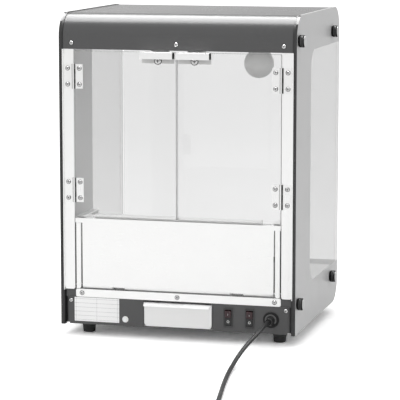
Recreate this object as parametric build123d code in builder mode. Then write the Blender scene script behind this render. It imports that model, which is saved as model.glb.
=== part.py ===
"""Countertop chip warmer: a glass-sided cabinet with two doors, a serving flap and a crumb drawer.

Millimetres. X runs to the right as the operator sees the cabinet, -Y points at the operator and +Y
at the customer, Z is up. The origin is on the bench, under the middle of the cabinet's outline.
"""
from build123d import *
from math import cos, pi, radians, sin, sqrt, tan
import os

os.makedirs("parts", exist_ok=True)

# Overall sizes of the cabinet
width = 455.0
depth = 390.0
body_height = 590.0
foot_height = 22.0
corner_radius = 44.0

# Sheets and panes
glass_thickness = 4.0
frame_thickness = 3.5
sheet = 1.5
door_thickness = 5.0
fit_gap = 0.3

# How far each front sits behind the front edge of the glass sides
hood_setback = 1.0
face_setback = 3.0
cover_setback = 4.5

# Levels above the bottom edge of the glass sides, and below their top edge
cover_top = 53.0
sill_bottom = 53.3
sill_top = 68.3
rail_top = 68.0
apron_top = 79.0
cheek_strip_top = 195.0
flap_top = 204.5
door_bottom = 206.5
hood_drop = 67.0
door_drop = 70.0

# Side frames and door posts
frame_band = 24.0
post_width = 20.1
post_return = 24.0
post_corner = 4.0
upper_flange = 32.0

# Clamping knobs of the glass sides
knob_radius = 11.5
knob_length = 12.3
knob_grooves = 18
groove_radius = 0.9
cap_radius = 8.5
cap_thickness = 1.0
stud_radius = 3.0
stud_clearance = 0.05
stud_hole_clearance = 0.5
pane_cap_radius = 8.0
pane_cap_height = 1.5
knob_front_inset = 16.0
knob_rear_inset = 73.0
knob_drop = 46.0
knob_rise = 58.0
nut_radius = 6.0
nut_length = 5.0
stud_tail = 2.0

# Screws
screw_head_radius = 4.0
screw_head_height = 2.0
screw_radius = 2.0
screw_length = 8.0
screw_hole_clearance = 0.2
hood_screw_inset = 17.0
hood_screw_rise = 11.5
sill_screw_inset = 12.9
sill_screw_level = 61.0
cover_screw_inset = 9.3
cover_screw_level = 46.0
apron_screw_level = 60.0

# Doors, their hinges and their pulls
door_gap = 2.0
door_edge_gap = 0.5
hinge_inset = 0.9
hinge_height = 46.0
knuckle_count = 5
knuckle_radius = 2.75
knuckle_lift = 0.3
leaf_thickness = 1.2
door_leaf_width = 17.6
post_leaf_width = 18.8
pin_radius = 1.25
pin_clearance = 0.05
pin_head_radius = 2.0
pin_head_height = 0.8
hinge_screw_pitch = 30.0
door_screw_inset = 11.0
post_screw_inset = 12.0
upper_hinge_drop = 118.0
lower_hinge_rise = 258.0
door_nut_radius = 4.0
door_nut_height = 3.0
pull_start = 3.5
pull_width = 63.0
pull_height = 22.0
pull_reach = 18.0
pull_lip = 13.0
pull_lift = 1.0
pull_screw_rise = 5.0
pull_sheet = 1.2
pull_screw_radius = 6.5
pull_screw_head = 3.0
pull_shank_radius = 2.5
magnet_width = 32.0
magnet_depth = 12.0
magnet_height = 23.0

# Serving flap, its rod and its brackets
flap_gap = 1.4
flap_shoulder = 13.5
flap_band_gap = 0.5
flap_curl = 8.0
flap_rise = 1.0
rod_radius = 2.5
rod_clearance = 0.05
bracket_x = 115.0
bracket_width = 24.0
bracket_eye = 4.5
notch_gap = 0.75
notch_setback = 0.5
bracket_standoff = 2.0
notch_angle = 20.0

# Cheek plates and the stop bar between them
cheek_gap = 2.9
cheek_strip = 9.0
cheek_flange = 13.5
cheek_setback = 1.0
cheek_depth = 98.0
cheek_top = 208.0
cheek_lip = 11.0
cheek_foot = 15.0
cheek_corner = 5.0
stop_half = 161.0
stop_height = 13.0
stop_depth = 14.0
stop_top = 212.0
stop_rod_radius = 2.0
stop_rod_drop = 9.0
stop_rod_setback = 8.0

# Warming deck and the rails that carry it
deck_front = 33.0
deck_hole_radius = 3.5
deck_columns = 15
deck_rows = 13
deck_pitch_x = 24.0
deck_pitch_y = 22.0
rail_flange = 26.0
rail_tab = 26.5
rail_tab_drop = 11.0
rail_lap = 0.5
rear_rail_flange = 52.0
rear_rail_height = 16.0

# Customer window
window_lap = 12.0
window_top_lap = 8.0
window_end_gap = 0.5
glazing_top_height = 13.0

# Base
base_floor = 2.5
base_flange_height = 66.0
base_lap = 50.0
apron_foot = 64.0
cover_gap = 0.2
cover_return = 12.0
cover_bend = 6.5
cover_foot = 1.0
foot_radius = 14.0
foot_tip_radius = 11.5
foot_inset = 32.5
front_foot_inset = 49.0
rear_foot_inset = 80.0

# Crumb drawer
drawer_x = 1.5
drawer_width = 131.0
drawer_gap = 1.2
drawer_bottom = 4.2
drawer_top = 49.5
drawer_sheet = 1.0
drawer_front_setback = 4.0
drawer_lip = 14.0
drawer_lip_fall = 4.5
drawer_lip_mitre = 2.5
drawer_lip_overhang = 0.5
drawer_corner = 6.0
tray_width = 121.0
tray_depth = 300.0
tray_rise = 3.0
tray_height = 36.5
tray_seam = 0.2
runner_side_gap = 0.5
runner_shelf = 11.0
runner_height = 24.0

# Switches
switch_light_x = 99.0
switch_heat_x = 140.0
switch_level = 28.0
bezel_width = 17.0
bezel_height = 37.0
bezel_thickness = 1.8
switch_body_half_width = 7.6
switch_body_half_height = 16.5
switch_depth = 20.0
switch_wall = 1.0
rocker_half_width = 6.2
rocker_half_height = 14.0
rocker_rise = 3.0
rocker_tail = 4.0
rocker_tilt = 8.0
rocker_pivot_depth = 2.5
trunnion_radius = 1.2
trunnion_length = 0.8
switch_mouth_half_height = 15.2

# Cable gland, plug of the spare hole and rating plate
gland_inset = 37.3
gland_level = 28.0
gland_flange_radius = 15.0
gland_flange = 3.0
gland_barrel = 22.5
gland_root_radius = 9.0
gland_tip_radius = 6.0
gland_thread_radius = 8.0
gland_thread = 13.0
locknut_radius = 13.0
locknut_length = 5.0
plug_x = -101.5
plug_level = 14.0
plug_radius = 6.0
plug_head = 1.4
plug_stem_radius = 4.0
plug_stem = 5.0
plate_inset = 16.3
plate_width = 88.5
plate_low = 6.5
plate_high = 52.5
plate_thickness = 0.3

# Lamp
lamp_x = 112.0
lamp_inset = 190.0
lamp_drop = 101.5
bulb_radius = 28.5
bulb_neck_radius = 15.0
bulb_shoulder = 6.0
bulb_cap_taper = 5.0
bulb_cap_radius = 13.1
bulb_cap_length = 26.0
bulb_neck_rise = 30.0
bulb_cap_rise = 50.0
ceiling_hole_radius = 21.0
holder_radius = 19.0
holder_length = 44.0
holder_mouth_gap = 2.0
holder_mouth_lap = 4.0
lamp_bracket_half = 30.0
lamp_bracket_depth = 30.0
lamp_bracket_foot = 10.0
lamp_bracket_rise = 52.0

# Heating element and what regulates it
heater_radius = 3.25
heater_level = 58.0
heater_half_width = 80.0
heater_bend = 30.0
heater_front = 120.0
heater_rear = 90.0
heater_bracket_inset = 40.0
heater_bracket_width = 24.0
heater_bracket_top = 63.5
thermostat_radius = 8.5
thermostat_height = 9.0
terminal_length = 40.0
terminal_depth = 17.0
terminal_height = 16.0
terminal_recess = 2.0
terminal_x = 150.0
terminal_inset = 60.0

# Wire cover: shallow channel on the left pane, between the base and the ceiling
wire_cover_inset = 27.5
wire_cover_length = 147.5
wire_cover_depth = 4.1
wire_cover_sheet = 1.0

# Mains cord: diameter, and the points that its free length was laid along
cord_diameter = 7.6
cord_start_run = 26.0
cord_route = [
    (180.2, -258.0, 46.6),
    (174.0, -286.0, 38.4),
    (164.6, -318.0, 26.0),
    (159.0, -352.0, 13.6),
    (159.0, -387.0, 6.3),
    (162.4, -424.0, 4.0),
    (168.3, -464.0, 3.9),
    (175.3, -508.0, 3.9),
    (183.4, -554.0, 3.9),
    (191.8, -600.0, 3.9),
    (200.2, -648.0, 3.9),
    (208.8, -699.0, 4.3),
    (215.0, -752.0, 5.0),
    (215.0, -790.0, 5.0),
]
coil_gap = 0.6
coil_outer_radius = 45.0
coil_half_turns_down = 4
plug_axis_level = 20.0
tie_width = 5.0
tie_thickness = 0.75
tie_gap = 0.35
mains_plug_radius = 19.0
mains_plug_length = 40.0
mains_plug_rounding = 2.0
plug_boot_length = 34.0
plug_boot_radius = 7.0
plug_pin_radius = 2.4
plug_pin_length = 19.0
plug_pin_pitch = 19.0

# Places worked out from the sizes
front_reach = gland_flange + gland_barrel - cover_setback
back_reach = screw_head_height - hood_setback
front = front_reach - (depth + front_reach + back_reach) / 2
back = front + depth
half_width = width / 2
glass_inner = half_width - glass_thickness
frame_inner = glass_inner - frame_thickness
post_web = frame_inner - sheet
ceiling_half = post_web
cover_half = post_web - cover_gap
hood_screw_x = frame_inner - hood_screw_inset
cover_flat = cover_half - cover_bend
cover_screw_x = cover_half - cover_screw_inset
rail_tab_inner = post_web - rail_tab
foot_x = frame_inner - foot_inset
gland_x = cover_half - gland_inset
plate_left = plate_inset - cover_half
plate_right = plate_left + plate_width
post_inner = frame_inner - post_width
hinge_axis_x = post_inner - hinge_inset
door_outer = hinge_axis_x - door_edge_gap
door_leaf_reach = hinge_axis_x - door_leaf_width
post_leaf_reach = hinge_axis_x + post_leaf_width
door_screw_x = hinge_axis_x - door_screw_inset
post_screw_x = hinge_axis_x + post_screw_inset
sill_screw_x = post_inner - sill_screw_inset
flap_band_half = post_inner - flap_gap
flap_body_half = flap_band_half - flap_shoulder
cheek_web_outer = post_inner - cheek_gap
cheek_strip_inner = cheek_web_outer - cheek_strip
cheek_flange_inner = cheek_web_outer - cheek_flange
base_z = foot_height
top_z = base_z + body_height
hood_z = top_z - hood_drop
door_top_z = top_z - door_drop
rail_z = base_z + rail_top
deck_z = rail_z + sheet
face_y = front + face_setback
cover_y = front + cover_setback
rail_y = cover_y + sheet
hood_front_y = front + hood_setback + sheet
hood_back_y = back - hood_setback - sheet
window_inner_y = hood_back_y - glass_thickness
hinge_y = face_y - knuckle_radius - knuckle_lift
hinge_levels = (base_z + lower_hinge_rise, top_z - upper_hinge_drop)
hinge_rows = [z + offset for z in hinge_levels for offset in (-hinge_screw_pitch / 2, hinge_screw_pitch / 2)]
screw_hole = screw_radius + screw_hole_clearance
knob_columns = {"front": front + knob_front_inset, "rear": back - knob_rear_inset}
knob_rows = {"lower": base_z + knob_rise, "upper": top_z - knob_drop}
knob_points = [(y, z) for y in knob_columns.values() for z in knob_rows.values()]
hood_screw_z = hood_z + hood_screw_rise
lamp_y = front + lamp_inset
lamp_z = top_z - lamp_drop
sides = ((-1, "left"), (1, "right"))


def at_x(x):
    """Plane across the cabinet: sketches run along Y and Z, and extrude towards +X."""
    return Plane.YZ.offset(x)


def at_y(y):
    """Plane facing the operator: sketches run along X and Z, and extrude towards -Y."""
    return Plane.XZ.offset(-y)


def at_z(z):
    """Level plane: sketches run along X and Y, and extrude upwards."""
    return Plane.XY.offset(z)


def rect(left, low, right, high, mode=Mode.ADD):
    """Rectangle in the current sketch, given by its edges."""
    with Locations(((left + right) / 2, (low + high) / 2)):
        return Rectangle(right - left, high - low, mode=mode)


def low_x(side, near, far):
    """Lower X limit of a stretch from near to far off the middle, on one side of the cabinet."""
    return min(side * near, side * far)


def rect_x(side, near, low, far, high, mode=Mode.ADD):
    """Rectangle from near to far off the middle, on one side of the cabinet."""
    start = low_x(side, near, far)
    return rect(start, low, start + abs(far - near), high, mode)


def side_outline(inset):
    """Outline of the cabinet's side, drawn in by inset: only its lower front corner is square."""
    low_front = (front + inset, base_z + inset)
    with BuildSketch() as outline:
        rect(*low_front, back - inset, top_z - inset)
        fillet(outline.vertices().sort_by_distance(low_front)[1:], corner_radius - inset)
    return outline.sketch


def side_skin(inset):
    """Section of a sheet that follows the side's outline at a setback."""
    with BuildSketch() as skin:
        add(side_outline(inset))
        add(side_outline(inset + sheet), mode=Mode.SUBTRACT)
    return skin.sketch


# Glass sides
for side, hand in sides:
    with BuildPart() as side_glass:
        with BuildSketch(at_x(low_x(side, glass_inner, half_width))):
            add(side_outline(0))
            with Locations(*knob_points):
                Circle(stud_radius + stud_hole_clearance * 2, mode=Mode.SUBTRACT)
        extrude(amount=glass_thickness)
    side_glass.part.label = f"side_glass_{hand}"
    export_step(side_glass.part, f"parts/side_glass_{hand}.step")

# Steel frames inside the glass: bands along the front, the hood and the base, open at the window
with BuildPart() as side_frames:
    for side, hand in sides:
        with BuildSketch(at_x(low_x(side, frame_inner, glass_inner))):
            add(side_outline(0))
            rect(front + frame_band, rail_z, back + 1, hood_z, mode=Mode.SUBTRACT)
            with Locations(*knob_points):
                Circle(stud_radius + stud_clearance * 1.5, mode=Mode.SUBTRACT)
        extrude(amount=frame_thickness)
side_frames.part.label = "side_frames"
export_step(side_frames.part, "parts/side_frames.step")

# Hood: one sheet bent over the top from the operator's band to the customer's
hood_screw_points = [(x, hood_screw_z) for x in (-hood_screw_x, 0, hood_screw_x)]
with BuildPart() as hood_cover:
    with BuildSketch(at_x(-frame_inner)):
        add(side_skin(hood_setback))
        rect(front - 1, base_z - 1, back + 1, hood_z, mode=Mode.SUBTRACT)
    extrude(amount=2 * frame_inner)
    with BuildSketch(at_y(back)):
        with Locations(*hood_screw_points):
            Circle(screw_hole)
    extrude(amount=depth, mode=Mode.SUBTRACT)
hood_cover.part.label = "hood_cover"
export_step(hood_cover.part, "parts/hood_cover.step")

# Ceiling: a tray with raised edges that the hood, the posts and the upper knobs fasten to
with BuildPart() as ceiling_panel:
    with BuildSketch(at_z(hood_z)):
        rect(-ceiling_half, hood_front_y, ceiling_half, window_inner_y)
        with Locations((lamp_x, lamp_y)):
            Circle(ceiling_hole_radius, mode=Mode.SUBTRACT)
    extrude(amount=sheet)
    with BuildSketch(at_z(hood_z + sheet)):
        rect(-ceiling_half, hood_front_y, ceiling_half, window_inner_y)
        rect(-ceiling_half + sheet, hood_front_y + sheet, ceiling_half - sheet, window_inner_y - sheet,
             mode=Mode.SUBTRACT)
    extrude(amount=hood_drop - corner_radius - sheet)
    for side, hand in sides:
        with BuildSketch(at_x(low_x(side, ceiling_half - sheet, ceiling_half))):
            rect(hood_front_y + sheet, hood_z + sheet, window_inner_y - sheet, hood_z + upper_flange)
        extrude(amount=sheet)
    with BuildSketch(at_y(back)):
        with Locations(*hood_screw_points):
            Circle(screw_hole)
    extrude(amount=depth, mode=Mode.SUBTRACT)
    with BuildSketch(at_x(-ceiling_half)):
        with Locations(*[(y, knob_rows["upper"]) for y in knob_columns.values()]):
            Circle(stud_radius + stud_hole_clearance)
    extrude(amount=2 * ceiling_half, mode=Mode.SUBTRACT)
ceiling_panel.part.label = "ceiling_panel"
export_step(ceiling_panel.part, "parts/ceiling_panel.step")

# Door posts: a face beside each door and a return along the side frame
post_screw_points = [(side * post_screw_x, z) for side, hand in sides for z in hinge_rows]
with BuildPart() as door_posts:
    for side, hand in sides:
        with BuildSketch(at_y(face_y + sheet)) as post_face:
            rect_x(side, post_inner, rail_z, frame_inner, hood_z)
            fillet(post_face.vertices().group_by(Axis.Y)[0], post_corner)
        extrude(amount=sheet)
        with BuildSketch(at_x(low_x(side, post_web, frame_inner))):
            rect(face_y + sheet, rail_z + post_corner, face_y + post_return, hood_z)
            rect(face_y + sheet, hood_z, face_y + post_return, hood_z + upper_flange)
            with Locations((knob_columns["front"], knob_rows["upper"])):
                Circle(stud_radius + stud_hole_clearance, mode=Mode.SUBTRACT)
        extrude(amount=sheet)
    with BuildSketch(at_y(face_y + sheet)):
        with Locations(*post_screw_points):
            Circle(screw_hole)
    extrude(amount=sheet, mode=Mode.SUBTRACT)
door_posts.part.label = "door_posts"
export_step(door_posts.part, "parts/door_posts.step")

# Customer window, held between the hood, the apron and two glazing bars
window_bottom_z = base_z + apron_top - window_lap
window_top_z = hood_z + window_top_lap
with BuildPart() as customer_window:
    with BuildSketch(at_y(hood_back_y)):
        rect(-frame_inner + window_end_gap, window_bottom_z, frame_inner - window_end_gap, window_top_z)
    extrude(amount=glass_thickness)
customer_window.part.label = "customer_window"
export_step(customer_window.part, "parts/customer_window.step")

apron_screw_points = [(x, base_z + apron_screw_level) for x in (-hood_screw_x, 0, hood_screw_x)]
rear_rail_z = rail_z - rear_rail_height
with BuildPart() as glazing_bars:
    with BuildSketch(at_y(hood_back_y)):
        rect(-ceiling_half, window_top_z, ceiling_half, window_top_z + glazing_top_height)
        rect(-ceiling_half, rear_rail_z, ceiling_half, window_bottom_z)
        with Locations(*hood_screw_points, *apron_screw_points):
            Circle(screw_hole, mode=Mode.SUBTRACT)
    extrude(amount=glass_thickness)
glazing_bars.part.label = "glazing_bars"
export_step(glazing_bars.part, "parts/glazing_bars.step")

# Customer apron: rises from under the base round the lower corner to the window
with BuildPart() as customer_apron:
    with BuildSketch(at_x(-frame_inner)):
        add(side_skin(hood_setback))
        rect(front - 1, base_z - 1, back - apron_foot, top_z, mode=Mode.SUBTRACT)
        rect(front - 1, base_z + apron_top, back + 1, top_z + 1, mode=Mode.SUBTRACT)
    extrude(amount=2 * frame_inner)
    with BuildSketch(at_y(back)):
        with Locations(*apron_screw_points):
            Circle(screw_hole)
    extrude(amount=base_lap, mode=Mode.SUBTRACT)
customer_apron.part.label = "customer_apron"
export_step(customer_apron.part, "parts/customer_apron.step")

# Rear rail: stands behind the lower glazing bar and carries the deck's rear edge
with BuildPart() as rear_rail:
    with BuildSketch(at_x(-post_web)):
        rect(window_inner_y - sheet, rear_rail_z, window_inner_y, rail_z)
        rect(window_inner_y - rear_rail_flange, rail_z - sheet, window_inner_y, rail_z)
    extrude(amount=2 * post_web)
    with BuildSketch(at_y(back)):
        with Locations(*apron_screw_points):
            Circle(screw_hole)
    extrude(amount=base_lap, mode=Mode.SUBTRACT)
rear_rail.part.label = "rear_rail"
export_step(rear_rail.part, "parts/rear_rail.step")

# Base pan: a floor with a raised edge at each side
foot_points = [(side * foot_x, y) for side, hand in sides
               for y in (front + front_foot_inset, back - rear_foot_inset)]
pan_z = base_z + base_floor
floor_z = pan_z + sheet
with BuildPart() as base_pan:
    with BuildSketch(at_z(pan_z)):
        rect(-frame_inner, rail_y, frame_inner, back - base_lap)
    extrude(amount=sheet)
    for side, hand in sides:
        with BuildSketch(at_x(low_x(side, post_web, frame_inner))):
            rect(rail_y, pan_z, back - base_lap, base_z + base_flange_height)
            with Locations(*[(y, knob_rows["lower"]) for y in knob_columns.values()]):
                Circle(stud_radius + stud_hole_clearance, mode=Mode.SUBTRACT)
        extrude(amount=sheet)
base_pan.part.label = "base_pan"
export_step(base_pan.part, "parts/base_pan.step")

# Front rail: dark channel behind the sill and the base cover, with a flange under the deck
sill_screw_points = [(x, base_z + sill_screw_level) for x in (-sill_screw_x, 0, sill_screw_x)]
cover_screw_points = [(side * cover_screw_x, base_z + cover_screw_level) for side, hand in sides]
rail_low_z = base_z + cover_top - rail_lap
with BuildPart() as front_rail:
    with BuildSketch(at_y(rail_y + sheet)):
        rect(-post_web, rail_low_z, post_web, rail_z)
        for side, hand in sides:
            rect_x(side, rail_tab_inner, rail_low_z - rail_tab_drop, cover_flat, rail_low_z)
        with Locations(*sill_screw_points, *cover_screw_points):
            Circle(screw_hole, mode=Mode.SUBTRACT)
    extrude(amount=sheet)
    with BuildSketch(at_z(rail_z - sheet)):
        rect(-post_web, rail_y, post_web, rail_y + rail_flange)
    extrude(amount=sheet)
front_rail.part.label = "front_rail"
export_step(front_rail.part, "parts/front_rail.step")

# Sill rail: bright strip across the foot of the doorway
with BuildPart() as sill_rail:
    with BuildSketch(at_y(rail_y)) as sill_face:
        rect(-post_inner + door_gap / 2, base_z + sill_bottom, post_inner - door_gap / 2, base_z + sill_top)
        fillet(sill_face.vertices(), (sill_top - sill_bottom) / 5)
        with Locations(*sill_screw_points):
            Circle(screw_hole, mode=Mode.SUBTRACT)
    extrude(amount=sheet)
sill_rail.part.label = "sill_rail"
export_step(sill_rail.part, "parts/sill_rail.step")

# Base cover: closes the base, with openings for the drawer, the switches, the gland and a spare hole
drawer_left = drawer_x - drawer_width / 2
drawer_right = drawer_x + drawer_width / 2
switch_places = {"light": switch_light_x, "heat": switch_heat_x}
with BuildPart() as base_cover:
    with BuildSketch(at_y(rail_y)):
        rect(-cover_flat, base_z + cover_foot, cover_flat, base_z + cover_top)
        rect(drawer_left - drawer_gap, base_z + drawer_bottom - drawer_gap, drawer_right + drawer_gap,
             base_z + cover_top, mode=Mode.SUBTRACT)
        for x in switch_places.values():
            rect(x - switch_body_half_width - 0.1, base_z + switch_level - switch_body_half_height - 0.1,
                 x + switch_body_half_width + 0.1, base_z + switch_level + switch_body_half_height + 0.1,
                 mode=Mode.SUBTRACT)
        with Locations((gland_x, base_z + gland_level)):
            Circle(gland_thread_radius + 0.25, mode=Mode.SUBTRACT)
        with Locations((plug_x, base_z + plug_level)):
            Circle(plug_stem_radius + 0.1, mode=Mode.SUBTRACT)
        with Locations(*cover_screw_points):
            Circle(screw_hole, mode=Mode.SUBTRACT)
    extrude(amount=sheet)
    for side, hand in sides:
        with BuildSketch(at_z(floor_z + fit_gap)):
            with Locations((side * cover_flat, cover_y + cover_bend)):
                Circle(cover_bend)
                Circle(cover_bend - sheet, mode=Mode.SUBTRACT)
            rect_x(side, cover_flat, cover_y, cover_half, cover_y + cover_bend, mode=Mode.INTERSECT)
            rect_x(side, cover_half - sheet, cover_y + cover_bend, cover_half, rail_y + cover_return)
        extrude(amount=rail_low_z - fit_gap - (floor_z + fit_gap))
base_cover.part.label = "base_cover"
export_step(base_cover.part, "parts/base_cover.step")

# Cheek plates: guide the chips to the flap, each with a front strip, a top flange and a foot
web_inner = cheek_web_outer - sheet
stop_rod_y = face_y + door_thickness + stop_rod_setback
stop_rod_z = base_z + stop_top - stop_rod_drop
rod_y = face_y + flap_curl
rod_z = rail_z + flap_rise + flap_curl
with BuildPart() as cheek_plates:
    for side, hand in sides:
        with BuildSketch(at_x(low_x(side, web_inner, cheek_web_outer))):
            rect(face_y, deck_z, face_y + cheek_depth, base_z + cheek_strip_top)
            rect(face_y + sheet + fit_gap, base_z + cheek_strip_top, face_y + cheek_depth,
                 base_z + flap_top)
            rect(face_y + door_thickness + cheek_setback, base_z + flap_top, face_y + cheek_depth,
                 base_z + cheek_top)
            with Locations((stop_rod_y, stop_rod_z)):
                Circle(stop_rod_radius + rod_clearance, mode=Mode.SUBTRACT)
            with Locations((rod_y, rod_z)):
                Circle(rod_radius + rod_clearance, mode=Mode.SUBTRACT)
        extrude(amount=sheet)
        with BuildSketch(at_y(face_y + sheet)) as strip_face:
            rect_x(side, cheek_strip_inner, deck_z, cheek_web_outer, base_z + cheek_strip_top)
            fillet(strip_face.vertices().group_by(Axis.Y)[0].sort_by(Axis.X)[0 if side > 0 else -1],
                   cheek_corner)
        extrude(amount=sheet)
        with BuildSketch(at_z(base_z + cheek_top - sheet)):
            rect_x(side, cheek_flange_inner, face_y + door_thickness + cheek_setback, cheek_web_outer,
                   face_y + cheek_depth)
        extrude(amount=sheet)
        with BuildSketch(at_y(face_y + cheek_depth)):
            rect_x(side, cheek_flange_inner, base_z + cheek_top - cheek_lip, cheek_web_outer,
                   base_z + cheek_top)
        extrude(amount=sheet)
        with BuildSketch(at_z(deck_z)):
            rect_x(side, web_inner, front + deck_front, cheek_web_outer + cheek_foot, face_y + cheek_depth)
        extrude(amount=sheet)
cheek_plates.part.label = "cheek_plates"
export_step(cheek_plates.part, "parts/cheek_plates.step")

# Stop bar behind the doors' lower edges: a channel with an eyed tab at each end
with BuildPart() as stop_bar:
    with BuildSketch(at_x(-stop_half)):
        rect(stop_rod_y - stop_depth / 2, base_z + stop_top - stop_height, stop_rod_y + stop_depth / 2,
             base_z + stop_top)
        rect(stop_rod_y - stop_depth / 2 + sheet, base_z + stop_top - stop_height,
             stop_rod_y + stop_depth / 2 - sheet, base_z + stop_top - sheet, mode=Mode.SUBTRACT)
    extrude(amount=2 * stop_half)
    for side, hand in sides:
        with BuildSketch(at_x(low_x(side, stop_half - sheet, stop_half))):
            rect(stop_rod_y - stop_depth / 2, base_z + stop_top - stop_height,
                 stop_rod_y + stop_depth / 2, base_z + stop_top)
            with Locations((stop_rod_y, stop_rod_z)):
                Circle(stop_rod_radius + rod_clearance, mode=Mode.SUBTRACT)
        extrude(amount=sheet)
stop_bar.part.label = "stop_bar"
export_step(stop_bar.part, "parts/stop_bar.step")

# Rods between the cheek plates: one through the stop bar, one that the flap turns on
with BuildPart() as cross_rods:
    with BuildSketch(at_x(-cheek_web_outer)):
        with Locations((stop_rod_y, stop_rod_z)):
            Circle(stop_rod_radius)
        with Locations((rod_y, rod_z)):
            Circle(rod_radius)
    extrude(amount=2 * cheek_web_outer)
cross_rods.part.label = "cross_rods"
export_step(cross_rods.part, "parts/cross_rods.step")

# Flap brackets: hold the flap's rod from behind, on the front rail's flange
bracket_foot_y = rod_y + flap_curl + bracket_standoff
with BuildPart() as flap_brackets:
    for side, hand in sides:
        with BuildSketch(at_x(side * bracket_x - bracket_width / 2)):
            rect(bracket_foot_y, rail_z, rail_y + rail_flange, rail_z + sheet)
            rect(bracket_foot_y, rail_z, bracket_foot_y + sheet, rod_z + bracket_eye)
            rect(rod_y, rod_z + bracket_eye - 2 * sheet, bracket_foot_y + sheet, rod_z + bracket_eye)
            with Locations((rod_y, rod_z)):
                Circle(bracket_eye)
                Circle(rod_radius + rod_clearance, mode=Mode.SUBTRACT)
        extrude(amount=bracket_width)
flap_brackets.part.label = "flap_brackets"
export_step(flap_brackets.part, "parts/flap_brackets.step")

# Warming deck: perforated plate between the front and rear rails
deck_front_y = front + deck_front
deck_back_y = window_inner_y - fit_gap
with BuildPart() as warming_deck:
    with BuildSketch(at_z(rail_z)):
        rect(-cover_half, deck_front_y, cover_half, deck_back_y)
        with Locations((0, (deck_front_y + deck_back_y) / 2)):
            with GridLocations(deck_pitch_x, deck_pitch_y, deck_columns, deck_rows):
                Circle(deck_hole_radius, mode=Mode.SUBTRACT)
    extrude(amount=sheet)
warming_deck.part.label = "warming_deck"
export_step(warming_deck.part, "parts/warming_deck.step")

# Door magnets under the ceiling, one behind each pull
pull_middle = pull_start + pull_width / 2
magnet_y = face_y + door_thickness + door_nut_height + fit_gap
with BuildPart() as catch_magnets:
    with BuildSketch(at_y(magnet_y + magnet_depth)):
        for side, hand in sides:
            rect_x(side, pull_middle - magnet_width / 2, hood_z - magnet_height,
                   pull_middle + magnet_width / 2, hood_z)
    extrude(amount=magnet_depth)
catch_magnets.part.label = "catch_magnets"
export_step(catch_magnets.part, "parts/catch_magnets.step")

# Hinges: the leaves share one knuckle line, and take turns along it
knuckle_pitch = hinge_height / knuckle_count


def hinge_leaf(side, centre_z, leaf_end, own):
    """One hinge leaf with its knuckles; own is 0 for the post's leaf and 1 for the door's."""
    axis_x = side * hinge_axis_x
    outward = 1 if own == 0 else -1
    low = centre_z - hinge_height / 2
    levels = [low + knuckle_pitch * i for i in range(knuckle_count)]
    clear = knuckle_radius + fit_gap
    plate_start = hinge_axis_x + outward * clear
    with BuildPart() as leaf:
        with BuildSketch(at_y(face_y)):
            rect_x(side, plate_start, low, leaf_end, low + hinge_height)
            for z in levels[own::2]:
                rect_x(side, hinge_axis_x, z + fit_gap / 2, plate_start + outward * fit_gap,
                       z + knuckle_pitch - fit_gap / 2)
            for z in (centre_z - hinge_screw_pitch / 2, centre_z + hinge_screw_pitch / 2):
                with Locations((side * (post_screw_x if own == 0 else door_screw_x), z)):
                    Circle(screw_hole, mode=Mode.SUBTRACT)
        extrude(amount=leaf_thickness)
        for z in levels[own::2]:
            with BuildSketch(at_z(z + fit_gap / 2)):
                with Locations((axis_x, hinge_y)):
                    Circle(knuckle_radius)
            extrude(amount=knuckle_pitch - fit_gap)
        with BuildSketch(at_z(low)):
            with Locations((axis_x, hinge_y)):
                Circle(pin_radius + pin_clearance)
        extrude(amount=hinge_height, mode=Mode.SUBTRACT)
    return leaf.part


def hinge_pin(side, centre_z):
    """Hinge pin with a flat head at each end, standing on the end knuckles."""
    low = centre_z - hinge_height / 2 + fit_gap / 2
    high = centre_z + hinge_height / 2 - fit_gap / 2
    with BuildPart() as pin:
        for z, radius, length in ((low, pin_radius, high - low),
                                  (low - pin_head_height, pin_head_radius, pin_head_height),
                                  (high, pin_head_radius, pin_head_height)):
            with BuildSketch(at_z(z)):
                with Locations((side * hinge_axis_x, hinge_y)):
                    Circle(radius)
            extrude(amount=length)
    return pin.part


with BuildPart() as post_hinges:
    for side, hand in sides:
        for z in hinge_levels:
            add(hinge_leaf(side, z, post_leaf_reach, 0))
            add(hinge_pin(side, z))
post_hinges.part.label = "post_hinges"
export_step(post_hinges.part, "parts/post_hinges.step")

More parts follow.
